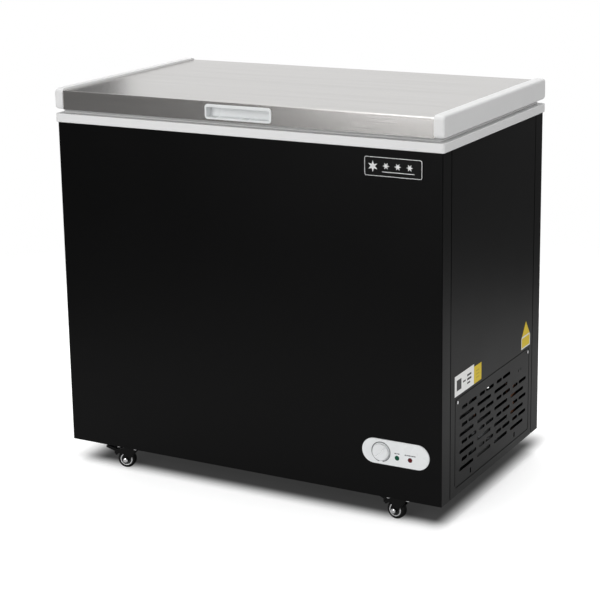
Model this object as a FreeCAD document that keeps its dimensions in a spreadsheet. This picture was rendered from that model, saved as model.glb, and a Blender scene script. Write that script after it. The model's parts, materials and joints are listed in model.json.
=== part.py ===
"""Chest freezer on four swivel casters, as an assembly of separate pieces.

Millimetres.  The origin is on the floor under the middle of the whole freezer's box:
+X runs along the length, to the compressor's end, +Y runs to the back and +Z is up.
The driving sizes are in the sheet Dims, and the places that follow from them in the
sheet Places.  Every piece is bound to those two sheets.
"""
import FreeCAD
import Part
import math
import os
import re
import Sketcher
from FreeCAD import Placement, Rotation, Vector

doc = FreeCAD.newDocument("ChestFreezer")

DRIVING_SIZES = [
    # steel shell
    ("shell_width", 905), ("shell_depth", 526), ("shell_height", 722), ("steel", 0.8),
    ("corner_return", 40), ("seam_gap", 3), ("seam_depth", 2), ("bend_radius", 2),
    # base and compressor bay
    ("caster_height", 55), ("base_recess", 2), ("base_sheet", 1), ("rail_height", 12),
    ("rail_width", 80), ("rail_sheet", 1.5), ("tray_sheet", 2), ("tray_margin", 5),
    ("bay_width", 230), ("bay_height", 245), ("bay_sheet", 1),
    # insulation and liner
    ("wall", 60), ("floor_wall", 72), ("bay_wall", 50), ("liner_sheet", 1.5), ("cavity_radius", 25),
    # collar
    ("collar_height", 19), ("overhang", 4), ("collar_radius", 6), ("ledge_width", 8),
    ("ledge_depth", 8), ("collar_edge", 2),
    # lid
    ("seal_gap", 9), ("lid_height", 41), ("cap_proud", 4), ("cap_width", 21.5), ("cap_wall", 4),
    ("cap_edge", 7), ("cap_corner", 9), ("skin_setback", 2), ("hem", 9), ("lid_liner_sheet", 1.5),
    ("plug_drop", 6), ("plug_margin", 12), ("gasket_setback", 11), ("gasket_width", 16),
    ("gasket_clearance", 0.3), ("gasket_radius", 12),
    # handle recess
    ("handle_width", 156), ("handle_height", 31), ("handle_rim", 4), ("handle_lip", 6),
    ("handle_depth", 20), ("handle_wall", 2), ("handle_corner", 7), ("handle_drop", 6),
    # hinges
    ("hinge_spacing", 560), ("hinge_width", 64), ("hinge_plate", 3), ("hinge_tail", 95),
    ("hinge_ear", 12), ("hinge_knuckle", 10.5), ("hinge_play", 0.5), ("pin_setback", 12),
    ("pin_radius", 3), ("pin_fit", 0.05), ("knuckle_radius", 6), ("spring_wire", 2.4),
    ("spring_radius", 4.7), ("spring_turns", 5),
    # control panel
    ("control_inset", 101), ("control_rise", 98), ("bezel_width", 150), ("bezel_height", 53),
    ("bezel_proud", 3), ("bezel_margin", 6), ("knob_radius", 17.5), ("knob_proud", 7),
    ("knob_gap", 0.4), ("knob_shift", 32), ("dial_radius", 19.5), ("shaft_radius", 3),
    ("lamp_radius", 5), ("lamp_shift", 4), ("lamp_pitch", 29), ("lamp_drop", 8), ("lamp_proud", 1),
    # badge and labels
    ("badge_width", 127), ("badge_height", 41), ("badge_inset", 105), ("badge_drop", 36),
    ("badge_sheet", 1.5), ("badge_corner", 5), ("label_sheet", 0.3), ("label_width", 97),
    ("label_height", 43), ("tag_width", 39), ("tag_height", 37), ("caution_width", 51),
    ("caution_height", 59), ("caution_shoulder", 24),
    # vent grille
    ("grille_width", 404), ("grille_height", 192), ("grille_rise", 16), ("grille_corner", 10),
    ("grille_gap", 2.5), ("grille_sheet", 2), ("grille_flange", 6), ("slot_height", 7.5),
    ("slot_long", 72), ("slot_mid", 41), ("slot_short", 28), ("slot_column", 91.6),
    ("slot_row", 18.65), ("slot_inset", 24), ("slot_drop", 28), ("screw_radius", 1.9),
    ("screw_head", 3.4), ("screw_inset", 11), ("screw_drop", 9),
    # refrigeration
    ("tube_radius", 3), ("bend", 22), ("channel", 7), ("evaporator_rings", 5),
    ("evaporator_pitch", 74), ("evaporator_drop", 66), ("condenser_rings", 4),
    ("condenser_pitch", 96), ("condenser_drop", 90), ("compressor_radius", 62),
    ("compressor_height", 150), ("mount_height", 10), ("mount_radius", 9),
    # basket and drain
    ("basket_length", 225), ("basket_depth", 190), ("basket_wall", 2.5), ("basket_play", 1.2),
    ("basket_rim", 3), ("basket_radius", 22), ("basket_inset", 30), ("drain_bore", 10),
    ("drain_wall", 1.5), ("drain_cap", 30), ("drain_inset", 70), ("plug_head", 17), ("plug_fit", 0.05),
    # casters
    ("caster_left", 140), ("caster_right", 100), ("caster_setback", 31), ("caster_trail", 14),
    ("wheel_radius", 20), ("wheel_width", 18), ("hub_radius", 14.5), ("axle_radius", 3),
    ("axle_fit", 0.05), ("fork_play", 0.6), ("fork_sheet", 2.5), ("fork_drop", 6),
    ("caster_plate_size", 58), ("caster_plate_sheet", 2.5), ("kingpin_radius", 5),
    ("bolt_pitch", 44), ("bolt_radius", 3), ("bolt_head", 4.6), ("brake_reach", 60),
    ("brake_rise", 12), ("brake_offset", 22), ("brake_drop", 11.2), ("brake_pin", 2), ("swivel_boss", 13),
    ("swivel_front_left", 15), ("swivel_front_right", 352), ("swivel_rear_left", 245),
    ("swivel_rear_right", 310),
]

PLACE_FORMULAS = [
    ("half_width", "shell_width / 2"),
    ("shell_bottom", "caster_height"),
    ("shell_top", "shell_bottom + shell_height"),
    ("collar_top", "shell_top + collar_height"),
    ("lid_bottom", "collar_top + seal_gap"),
    ("skin_top", "lid_bottom + lid_height"),
    ("lid_top", "skin_top + cap_proud"),
    ("fork_inner", "wheel_width / 2 + fork_play"),
    ("fork_outer", "fork_inner + fork_sheet"),
    ("pedal_half", "fork_inner - 0.5"),
    ("pedal_proud", "brake_reach * max(sin(swivel_front_left); sin(swivel_front_right)) + pedal_half"
                    " - caster_setback"),
    ("front_proud", "max(bezel_proud + knob_proud; pedal_proud)"),
    ("rear_proud", "overhang + pin_setback + knuckle_radius"),
    ("shell_front", "(front_proud - rear_proud - shell_depth) / 2"),
    ("shell_back", "shell_front + shell_depth"),
    ("middle", "(shell_front + shell_back) / 2"),
    ("collar_side", "half_width + overhang"),
    ("collar_front", "shell_front - overhang"),
    ("collar_back", "shell_back + overhang"),
    ("cavity_side", "half_width - wall"),
    ("cavity_front", "shell_front + wall"),
    ("cavity_back", "shell_back - wall"),
    ("cavity_floor", "shell_bottom + floor_wall"),
    ("bay_left", "half_width - bay_width"),
    ("bay_top", "shell_bottom + bay_height"),
    ("step_left", "bay_left - bay_wall"),
    ("step_top", "bay_top + bay_wall"),
    ("seam_front", "shell_front + corner_return"),
    ("seam_back", "shell_back - corner_return"),
    ("side_inner", "half_width - steel"),
    ("flange_outer", "side_inner - seam_depth"),
    ("flange_inner", "flange_outer - steel"),
    ("front_inner", "shell_front + steel"),
    ("back_inner", "shell_back - steel"),
    ("base_bottom", "shell_bottom + base_recess"),
    ("base_top", "base_bottom + base_sheet"),
    ("rail_top", "base_top + rail_height"),
    ("tray_top", "rail_top + tray_sheet"),
    ("cap_inner", "collar_side - cap_width"),
    ("skin_front", "collar_front + skin_setback"),
    ("skin_back", "collar_back - skin_setback"),
    ("handle_top", "skin_top - handle_drop"),
    ("handle_bottom", "handle_top - handle_height"),
    ("pin_y", "collar_back + pin_setback"),
    ("control_x", "half_width - control_inset"),
    ("control_z", "shell_bottom + control_rise"),
    ("bezel_front", "shell_front - bezel_proud"),
    ("knob_x", "control_x - knob_shift"),
    ("lamp_x", "control_x + lamp_shift"),
    ("lamp_z", "control_z - lamp_drop"),
    ("badge_x", "half_width - badge_inset"),
    ("badge_z", "shell_top - badge_drop"),
    ("grille_front", "middle - grille_width / 2 + 3"),
    ("grille_back", "grille_front + grille_width"),
    ("grille_bottom", "shell_bottom + grille_rise"),
    ("grille_top", "grille_bottom + grille_height"),
    ("caster_x_left", "caster_left - half_width"),
    ("caster_x_right", "half_width - caster_right"),
    ("caster_y_front", "shell_front + caster_setback"),
    ("caster_y_rear", "shell_back - caster_setback"),
    ("crown_top", "base_bottom - caster_plate_sheet - fork_drop - 0.3"),
    ("bay_middle", "(bay_left + half_width) / 2"),
    ("mount_top", "tray_top + mount_height"),
    ("ledge_bottom", "collar_top - ledge_depth"),
    ("basket_right", "cavity_side - basket_inset"),
    ("basket_left", "basket_right - basket_length"),
    ("drain_x", "caster_x_left + rail_width / 2 + drain_wall + drain_bore + 12"),
    ("drain_y", "cavity_front + drain_inset"),
]


def fill_sheet(name, cells, write):
    """Make a spreadsheet with one aliased cell for each name."""
    sheet = doc.addObject("Spreadsheet::Sheet", name)
    for row, (alias, content) in enumerate(cells, 1):
        sheet.set(f"A{row}", alias.replace("_", " "))
        sheet.set(f"B{row}", write(content))
        sheet.setAlias(f"B{row}", alias)
    doc.recompute()
    return sheet


def full(expression):
    """Put the name of its sheet before each size that an expression uses."""
    def with_sheet(match):
        word = match.group(0)
        if word in DIM_NAMES:
            return "Dims." + word
        if word in PLACE_NAMES:
            return "Places." + word
        return word
    return re.sub(r"[A-Za-z_]\w*", with_sheet, str(expression))


def value(expression):
    """Work out an expression of the sheets' sizes as a number."""
    return float(sizes.evalExpression(full(expression)))


DIM_NAMES = {alias for alias, number in DRIVING_SIZES}
PLACE_NAMES = {alias for alias, formula in PLACE_FORMULAS}
sizes = fill_sheet("Dims", DRIVING_SIZES, str)
places = fill_sheet("Places", PLACE_FORMULAS, lambda formula: "=" + full(formula).replace("Places.", ""))

NODES = {}
UP = Rotation()
ALONG_X = Rotation(Vector(0, 1, 0), 90)
ALONG_Y = Rotation(Vector(1, 0, 0), -90)


def node(name, piece):
    """Give a finished piece its name."""
    piece.Label = name
    NODES[name] = piece
    return piece


# ---------------------------------------------------------------- primitives and booleans

def block(name, x, y, z):
    """A box between a low and a high place along each axis."""
    box = doc.addObject("Part::Box", name)
    for size, axis, (low, high) in zip(("Length", "Width", "Height"), "xyz", (x, y, z)):
        box.setExpression(size, full(f"({high}) - ({low})"))
        box.setExpression(f"Placement.Base.{axis}", full(low))
    return box


def rod(name, turn, start, length, radius):
    """A cylinder from a start point, along Z unless it is turned."""
    bar = doc.addObject("Part::Cylinder", name)
    bar.Placement = Placement(Vector(), turn)
    bar.setExpression("Radius", full(radius))
    bar.setExpression("Height", full(length))
    for axis, place in zip("xyz", start):
        bar.setExpression(f"Placement.Base.{axis}", full(place))
    return bar


def joined(name, *pieces):
    """One solid from pieces that touch or overlap."""
    union = doc.addObject("Part::MultiFuse", name)
    union.Shapes = list(pieces)
    return union


def grouped(name, *pieces):
    """Separate solids that share one node."""
    group = doc.addObject("Part::Compound", name)
    group.Links = list(pieces)
    return group


def without(name, base, *tools):
    """A piece with others cut out of it."""
    rest = doc.addObject("Part::Cut", name)
    rest.Base = base
    rest.Tool = tools[0] if len(tools) == 1 else joined(name + "_tools", *tools)
    return rest


# ---------------------------------------------------------------- sketched bodies

def sketch_on(body, role, name, offset=0):
    """A sketch on one of a body's origin planes, moved along the plane's normal."""
    sketch = body.newObject("Sketcher::SketchObject", name)
    plane = [feature for feature in body.Origin.OriginFeatures if feature.Role == role][0]
    sketch.AttachmentSupport = [(plane, "")]
    sketch.MapMode = "FlatFace"
    sketch.setExpression("AttachmentOffset.Base.z", full(offset))
    return sketch


def fix(sketch, kind, geometry, point, expression):
    """Hold a point's distance from the sketch's origin to an expression."""
    number = value(expression)
    index = sketch.addConstraint(Sketcher.Constraint(kind, -1, 1, geometry, point, number))
    sketch.setExpression(f"Constraints[{index}]", full(expression))


def polygon(sketch, points):
    """A closed outline with straight sides of any direction."""
    corners = [Vector(value(x), value(y), 0) for x, y in points]
    first = sketch.GeometryCount
    count = len(corners)
    for i in range(count):
        sketch.addGeometry(Part.LineSegment(corners[i], corners[(i + 1) % count]), False)
    for i in range(count):
        sketch.addConstraint(
            Sketcher.Constraint("Coincident", first + i, 2, first + (i + 1) % count, 1))
    for i, (x, y) in enumerate(points):
        fix(sketch, "DistanceX", first + i, 1, x)
        fix(sketch, "DistanceY", first + i, 1, y)


def outline(sketch, points, radii=None):
    """A closed outline whose sides are level or upright; radii rounds the corners named by index."""
    radii = radii or {}
    count = len(points)
    corners = [Vector(value(x), value(y), 0) for x, y in points]
    ways = [(corners[(i + 1) % count] - corners[i]).normalize() for i in range(count)]
    rounds = [value(radii.get(i, 0)) for i in range(count)]
    first = sketch.GeometryCount
    for i in range(count):
        after = (i + 1) % count
        start = corners[i] + ways[i] * rounds[i]
        end = corners[after] - ways[i] * rounds[after]
        sketch.addGeometry(Part.LineSegment(start, end), False)
        level = points[i][1] == points[after][1]
        sketch.addConstraint(Sketcher.Constraint("Horizontal" if level else "Vertical", first + i))
        fix(sketch, "DistanceY" if level else "DistanceX", first + i, 1, points[i][1 if level else 0])
    for i in range(count):
        before = first + (i - 1) % count
        if i not in radii:
            sketch.addConstraint(Sketcher.Constraint("Coincident", before, 2, first + i, 1))
            continue
        way_in = ways[(i - 1) % count]
        centre = corners[i] - way_in * rounds[i] + ways[i] * rounds[i]
        begin = corners[i] - way_in * rounds[i]
        finish = corners[i] + ways[i] * rounds[i]
        left_turn = way_in.x * ways[i].y - way_in.y * ways[i].x > 0
        if not left_turn:
            begin, finish = finish, begin
        low = math.atan2(begin.y - centre.y, begin.x - centre.x)
        high = math.atan2(finish.y - centre.y, finish.x - centre.x)
        circle = Part.Circle(centre, Vector(0, 0, 1), rounds[i])
        arc = sketch.addGeometry(Part.ArcOfCircle(circle, low, high if high > low else high + math.tau))
        ends = (1, 2) if left_turn else (2, 1)
        sketch.addConstraint(Sketcher.Constraint("Tangent", before, 2, arc, ends[0]))
        sketch.addConstraint(Sketcher.Constraint("Tangent", arc, ends[1], first + i, 1))
        index = sketch.addConstraint(Sketcher.Constraint("Radius", arc, rounds[i]))
        sketch.setExpression(f"Constraints[{index}]", full(radii[i]))


def rectangle(sketch, x, y, radius=None):
    """A rectangle between a low and a high place each way, with equal round corners or none."""
    points = [(x[0], y[0]), (x[1], y[0]), (x[1], y[1]), (x[0], y[1])]
    outline(sketch, points, {i: radius for i in range(4)} if radius else None)


def ring(sketch, x, y, radius):
    """A circle about a point."""
    circle = Part.Circle(Vector(value(x), value(y), 0), Vector(0, 0, 1), value(radius))
    index = sketch.addGeometry(circle, False)
    fix(sketch, "DistanceX", index, 3, x)
    fix(sketch, "DistanceY", index, 3, y)
    size = sketch.addConstraint(Sketcher.Constraint("Radius", index, value(radius)))
    sketch.setExpression(f"Constraints[{size}]", full(radius))


def stadium(sketch, left, right, middle, height):
    """A slot with round ends between two places along the sketch's X."""
    x0, x1, y, r = value(left), value(right), value(middle), value(height) / 2
    up = Vector(0, 0, 1)
    quarter = math.pi / 2
    first = sketch.addGeometry(Part.LineSegment(Vector(x0 + r, y + r, 0), Vector(x1 - r, y + r, 0)))
    end = Part.Circle(Vector(x1 - r, y, 0), up, r)
    sketch.addGeometry(Part.ArcOfCircle(end, -quarter, quarter))
    sketch.addGeometry(Part.LineSegment(Vector(x1 - r, y - r, 0), Vector(x0 + r, y - r, 0)))
    start = Part.Circle(Vector(x0 + r, y, 0), up, r)
    sketch.addGeometry(Part.ArcOfCircle(start, quarter, 3 * quarter))
    for here, there in (((first, 2), (first + 1, 2)), ((first + 1, 1), (first + 2, 1)),
                        ((first + 2, 2), (first + 3, 2)), ((first + 3, 1), (first, 1))):
        sketch.addConstraint(Sketcher.Constraint("Tangent", *here, *there))
    sketch.addConstraint(Sketcher.Constraint("Horizontal", first))
    index = sketch.addConstraint(Sketcher.Constraint("Radius", first + 1, r))
    sketch.setExpression(f"Constraints[{index}]", full(f"({height}) / 2"))
    fix(sketch, "DistanceX", first + 3, 3, f"({left}) + ({height}) / 2")
    fix(sketch, "DistanceY", first + 3, 3, middle)
    fix(sketch, "DistanceX", first + 1, 3, f"({right}) - ({height}) / 2")


def pad(body, sketch, length, reverse=False):
    """Raise a sketch by a length, along its plane's normal or against it."""
    feature = body.newObject("PartDesign::Pad", sketch.Name + "_pad")
    feature.Profile = sketch
    feature.setExpression("Length", full(length))
    feature.Reversed = reverse
    return feature


def pocket(body, sketch, reverse=False, length=None):
    """Cut a sketch into a body, right through unless a depth is given."""
    feature = body.newObject("PartDesign::Pocket", sketch.Name + "_pocket")
    feature.Profile = sketch
    feature.Reversed = reverse
    if length is None:
        feature.Type = 1
    else:
        feature.setExpression("Length", full(length))
    return feature


def rounded(body, feature, radius, chosen):
    """Fillet the edges of a body's last feature that a test picks out."""
    doc.recompute()
    names = [f"Edge{i}" for i, edge in enumerate(feature.Shape.Edges, 1) if chosen(edge)]
    fillet = body.newObject("PartDesign::Fillet", feature.Name + "_round")
    fillet.Base = (feature, names)
    fillet.setExpression("Radius", full(radius))
    return fillet


def in_plane(axis, place):
    """A test for edges that lie in a plane across an axis."""
    level = value(place)
    return lambda edge: (abs(getattr(edge.BoundBox, axis + "Min") - level) < 1e-4
                         and abs(getattr(edge.BoundBox, axis + "Max") - level) < 1e-4)


def prism(name, x, y, z, radius=None):
    """A body with a rectangular plan, round upright corners and a low and high level."""
    body = doc.addObject("PartDesign::Body", name)
    plan = sketch_on(body, "XY_Plane", name + "_plan", z[0])
    rectangle(plan, x, y, radius)
    pad(body, plan, f"({z[1]}) - ({z[0]})")
    return body


def tube(name, points, radius, bend):
    """A round tube along straight runs joined by tangent arcs."""
    corners = [Vector(*[value(place) for place in point]) for point in points]
    edges = []
    start = corners[0]
    for before, corner, after in zip(corners, corners[1:], corners[2:]):
        way_in = (corner - before).normalize()
        way_out = (after - corner).normalize()
        half_turn = way_in.getAngle(way_out) / 2
        reach = value(bend) * math.tan(half_turn)
        begin = corner - way_in * reach
        finish = corner + way_out * reach
        inward = (way_out - way_in).normalize()
        nearest = corner + inward * (value(bend) * (1 / math.cos(half_turn) - 1))
        edges.append(Part.LineSegment(start, begin).toShape())
        edges.append(Part.Arc(begin, nearest, finish).toShape())
        start = finish
    edges.append(Part.LineSegment(start, corners[-1]).toShape())
    path = Part.Wire(edges)
    section = Part.Wire(Part.Circle(corners[0], corners[1] - corners[0], value(radius)).toShape())
    piece = doc.addObject("Part::Feature", name)
    piece.Shape = path.makePipeShell([section], True, False)
    return piece


# ---------------------------------------------------------------- steel shell

def corner_panel(name, face, inner, seam):
    """A panel that wraps round both corners of one end of the shell."""
    body = doc.addObject("PartDesign::Body", name)
    plan = sketch_on(body, "XY_Plane", name + "_plan", "shell_bottom")
    points = [("-half_width", seam), ("-half_width", face), ("half_width", face),
              ("half_width", seam), ("side_inner", seam), ("side_inner", inner),
              ("-side_inner", inner), ("-side_inner", seam)]
    outer = "bend_radius"
    inner_round = "bend_radius - steel"
    outline(plan, points, {1: outer, 2: outer, 5: inner_round, 6: inner_round})
    pad(body, plan, "shell_height")
    return body


def side_panel(name, sign):
    """A side panel with joggled edges that pass behind the corner panels."""
    start = "seam_front + seam_gap"
    end = "seam_back - seam_gap"
    tuck = 12
    face, inside, flange, flange_in = [
        f"{sign}{place}" for place in ("half_width", "side_inner", "flange_outer", "flange_inner")]
    body = doc.addObject("PartDesign::Body", name)
    plan = sketch_on(body, "XY_Plane", name + "_plan", "shell_bottom")
    outline(plan, [
        (face, start), (face, end), (flange, end), (flange, f"{end} + {tuck}"),
        (flange_in, f"{end} + {tuck}"), (flange_in, f"{end} - steel"), (inside, f"{end} - steel"),
        (inside, f"{start} + steel"), (flange_in, f"{start} + steel"),
        (flange_in, f"{start} - {tuck}"), (flange, f"{start} - {tuck}"), (flange, start)])
    pad(body, plan, "shell_height")
    return body


def front_panel():
    """The front, with the opening behind the control panel."""
    body = corner_panel("FrontPanel", "shell_front", "front_inner", "seam_front")
    hole = sketch_on(body, "XZ_Plane", "ControlHole")
    reach = "bezel_width / 2 - bezel_margin"
    stadium(hole, f"control_x - ({reach})", f"control_x + {reach}", "control_z",
            "bezel_height - 2 * bezel_margin")
    pocket(body, hole, reverse=True)
    node("front_panel", body)


def rear_panel():
    """The back, with air slots for the compressor bay and the hole for the cord gland."""
    body = corner_panel("RearPanel", "shell_back", "back_inner", "seam_back")
    slot = sketch_on(body, "XZ_Plane", "AirSlot")
    stadium(slot, "bay_left + 40", "bay_left + 112", "shell_bottom + 80", "slot_height")
    cut = pocket(body, slot)
    rows = body.newObject("PartDesign::LinearPattern", "AirSlotRows")
    rows.Originals = [cut]
    rows.Direction = (slot, ["V_Axis"])
    rows.setExpression("Length", full("slot_row * 7"))
    rows.Occurrences = 8
    body.Tip = rows
    gland = sketch_on(body, "XZ_Plane", "GlandHole")
    ring(gland, "half_width - 60", "shell_bottom + 42", 9)
    pocket(body, gland)
    node("rear_panel", body)


def right_side_panel():
    """The side at the compressor's end, with the opening for the vent grille."""
    body = side_panel("RightSidePanel", "")
    opening = sketch_on(body, "YZ_Plane", "VentOpening")
    rectangle(opening, ("grille_front", "grille_back"), ("grille_bottom", "grille_top"), "grille_corner")
    pocket(body, opening, reverse=True)
    node("right_side_panel", body)


def slot_cell(sketch, y, z):
    """A short and a middle slot over one long slot."""
    stadium(sketch, f"{y} + 11.5", f"{y} + 11.5 + slot_short", z, "slot_height")
    stadium(sketch, f"{y} + 46", f"{y} + 46 + slot_mid", z, "slot_height")
    stadium(sketch, y, f"{y} + slot_long", f"{z} - slot_row", "slot_height")


def vent_grille():
    """The louvred cover of the compressor bay, held from behind by its flange."""
    body = doc.addObject("PartDesign::Body", "VentGrille")
    flange = sketch_on(body, "YZ_Plane", "GrilleFlange", "side_inner - 0.2 - grille_sheet")
    edge = "grille_flange"
    rectangle(flange, (f"grille_front - {edge}", f"grille_back + {edge}"),
              (f"grille_bottom - {edge}", f"grille_top + {edge}"), "grille_corner")
    pad(body, flange, "grille_sheet")
    face = sketch_on(body, "YZ_Plane", "GrilleFace", "side_inner - 0.2")
    gap = "grille_gap"
    rectangle(face, (f"grille_front + {gap}", f"grille_back - {gap}"),
              (f"grille_bottom + {gap}", f"grille_top - {gap}"), f"grille_corner - {gap}")
    pad(body, face, "steel + 0.2")
    first = sketch_on(body, "YZ_Plane", "SlotCell")
    slot_cell(first, "grille_front + slot_inset", "grille_top - slot_drop")
    cell = pocket(body, first, reverse=True)
    grid = body.newObject("PartDesign::MultiTransform", "SlotGrid")
    grid.Originals = [cell]
    columns = body.newObject("PartDesign::LinearPattern", "SlotColumns")
    columns.Direction = (first, ["H_Axis"])
    columns.setExpression("Length", full("slot_column * 2"))
    columns.Occurrences = 3
    rows = body.newObject("PartDesign::LinearPattern", "SlotRows")
    rows.Direction = (first, ["V_Axis"])
    rows.Reversed = True
    rows.setExpression("Length", full("slot_row * 6"))
    rows.Occurrences = 4
    grid.Transformations = [columns, rows]
    body.Tip = grid
    last = sketch_on(body, "YZ_Plane", "LastColumn")
    slot_cell(last, "grille_front + slot_inset + slot_column * 3",
              "grille_top - slot_drop - slot_row * 2")
    last_cell = pocket(body, last, reverse=True)
    last_rows = body.newObject("PartDesign::LinearPattern", "LastRows")
    last_rows.Originals = [last_cell]
    last_rows.Direction = (last, ["V_Axis"])
    last_rows.Reversed = True
    last_rows.setExpression("Length", full("slot_row * 4"))
    last_rows.Occurrences = 3
    body.Tip = last_rows
    keys = sketch_on(body, "YZ_Plane", "KeySlots")
    for place in ("grille_front + 79", "grille_back - 85"):
        rectangle(keys, (f"{place}", f"{place} + 6"), ("grille_bottom + 8", "grille_bottom + 20"), 2.5)
    for place in ("grille_front + slot_inset + slot_column * 3 + 42",
                  "grille_front + slot_inset + slot_column * 3 + 56"):
        rectangle(keys, (place, f"{place} + 3"), ("grille_top - 41", "grille_top - 35"))
    for place in ("grille_front + screw_inset", "grille_back - screw_inset"):
        ring(keys, place, "grille_top - screw_drop", "screw_radius + 0.1")
    pocket(body, keys, reverse=True)
    node("vent_grille", body)


def panel_screws():
    """The two screws at the top of the grille."""
    screws = []
    for name, y in (("Front", "grille_front + screw_inset"), ("Rear", "grille_back - screw_inset")):
        z = "grille_top - screw_drop"
        head = rod(f"Screw{name}Head", ALONG_X, ("half_width", y, z), 1.6, "screw_head")
        shank = rod(f"Screw{name}Shank", ALONG_X, ("half_width - 12", y, z), 12, "screw_radius")
        screws.append(joined(f"Screw{name}", head, shank))
    node("panel_screws", grouped("PanelScrews", *screws))


# ---------------------------------------------------------------- base and compressor bay

def caster_places():
    """The name, x, y and swivel of each caster."""
    return [("fl", "caster_x_left", "caster_y_front", "swivel_front_left"),
            ("fr", "caster_x_right", "caster_y_front", "swivel_front_right"),
            ("rl", "caster_x_left", "caster_y_rear", "swivel_rear_left"),
            ("rr", "caster_x_right", "caster_y_rear", "swivel_rear_right")]


def bolt_places():
    """The x and y of every caster bolt."""
    return [(f"{x} {side} bolt_pitch / 2", f"{y} {end} bolt_pitch / 2")
            for tag, x, y, swivel in caster_places() for side in "-+" for end in "-+"]


def bolt_holes(name, z):
    """Rods that cut the holes for the caster bolts, between two levels."""
    return [rod(f"{name}{i}", UP, (x, y, z[0]), f"({z[1]}) - ({z[0]})", "bolt_radius + 0.2")
            for i, (x, y) in enumerate(bolt_places())]


def base_plate():
    """The floor of the shell, which carries the casters."""
    sheet = block("BaseSheet", ("-flange_inner", "flange_inner"), ("front_inner", "back_inner"),
                  ("base_bottom", "base_top"))
    drain = rod("BaseDrainHole", UP, ("drain_x", "drain_y", "base_bottom - 1"), "base_sheet + 2",
                "drain_bore + drain_wall + 0.1")
    node("base_plate", without("BasePlate", sheet, drain,
                               *bolt_holes("BaseHole", ("base_bottom - 1", "base_top + 1"))))


def rail(name, x):
    """A hat-section rail from front to back, over one pair of casters."""
    half = "rail_width / 2"
    outer = block(name + "Outer", (f"{x} - {half}", f"{x} + {half}"), ("front_inner", "back_inner"),
                  ("base_top", "rail_top"))
    inner = block(name + "Inner", (f"{x} - {half} + rail_sheet", f"{x} + {half} - rail_sheet"),
                  ("front_inner - 1", "back_inner + 1"), ("base_top - 1", "rail_top - rail_sheet"))
    return without(name, outer, inner)


def bay_partition():
    """The bent sheet that keeps the foam out of the compressor bay."""
    body = doc.addObject("PartDesign::Body", "BayPartition")
    end = sketch_on(body, "XZ_Plane", "PartitionEnd", "-front_inner")
    outline(end, [("bay_left", "base_top"), ("bay_left + bay_sheet", "base_top"),
                  ("bay_left + bay_sheet", "bay_top - bay_sheet"), ("flange_inner", "bay_top - bay_sheet"),
                  ("flange_inner", "bay_top"), ("bay_left", "bay_top")],
            {2: "bend_radius", 5: "bend_radius + bay_sheet"})
    pad(body, end, "back_inner - front_inner", reverse=True)
    node("bay_partition", body)


def compressor_tray():
    """The tray over the right rail, on bent legs."""
    left = "bay_left + bay_sheet + tray_margin"
    right = "flange_inner - tray_margin"
    body = doc.addObject("PartDesign::Body", "CompressorTray")
    end = sketch_on(body, "XZ_Plane", "TrayEnd", "-(middle - 120)")
    outline(end, [(left, "base_top"), (f"{left} + tray_sheet", "base_top"),
                  (f"{left} + tray_sheet", "rail_top"), (f"{right} - tray_sheet", "rail_top"),
                  (f"{right} - tray_sheet", "base_top"), (right, "base_top"), (right, "tray_top"),
                  (left, "tray_top")], {6: 3, 7: 3})
    pad(body, end, 240, reverse=True)
    node("compressor_tray", body)


def compressor_corners():
    """The places of the four compressor mounts."""
    return [(f"bay_middle {side} 80", f"middle {end} 55") for side in "-+" for end in "-+"]


def compressor():
    """The sealed compressor: a deep-drawn shell with a welded seam, on a four-footed plate."""
    body = doc.addObject("PartDesign::Body", "Compressor")
    foot = sketch_on(body, "XY_Plane", "FootPlan", "mount_top")
    rectangle(foot, ("bay_middle - 95", "bay_middle + 95"), ("middle - 70", "middle + 70"), 15)
    pad(body, foot, 3)
    for name, level, height, radius in (("LowerShell", "mount_top", "compressor_height", "compressor_radius"),
                                        ("Seam", "mount_top + 70", "6", "compressor_radius + 4")):
        plan = sketch_on(body, "XY_Plane", name, level)
        ring(plan, "bay_middle", "middle", radius)
        last = pad(body, plan, height)
    rounded(body, last, 28, in_plane("Z", "mount_top + compressor_height"))
    node("compressor", body)


def bay_fittings():
    """The rubber mounts, the start relay and the filter drier."""
    mounts = [rod(f"Mount{i}", UP, (x, y, "tray_top"), "mount_height", "mount_radius")
              for i, (x, y) in enumerate(compressor_corners())]
    node("compressor_mounts", grouped("CompressorMounts", *mounts))
    relay_back = "middle - compressor_radius - 4.5"
    node("start_relay", block("StartRelay", ("bay_middle - 24", "bay_middle + 24"),
                              (f"{relay_back} - 30", relay_back),
                              ("mount_top + 12", "mount_top + 62")))
    dryer_x, dryer_y, dryer_z = "flange_inner - 34", "shell_back - 70", "mount_top + 10"
    barrel = rod("DrierBarrel", UP, (dryer_x, dryer_y, dryer_z), 95, 11)
    bottom = rod("DrierBottom", UP, (dryer_x, dryer_y, f"{dryer_z} - 14"), 14, 4)
    top = rod("DrierTop", UP, (dryer_x, dryer_y, f"{dryer_z} + 95"), 14, 4)
    node("filter_drier", joined("FilterDrier", barrel, bottom, top))


# ---------------------------------------------------------------- refrigeration tubes

def ring_levels(rings, drop, pitch):
    """The level of each ring of a coil, from the top down."""
    return [f"shell_top - {drop} - {pitch} * {i}" for i in range(int(value(rings)))]


def coil_route(levels, ends, loop):
    """A route that goes round a loop at each level, back and forth, and steps down at its ends."""
    route = []
    for i, level in enumerate(levels):
        stations = [ends[0], *loop, ends[1]]
        if i % 2:
            stations.reverse()
        route += [(x, y, level) for x, y in stations]
    return route


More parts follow.
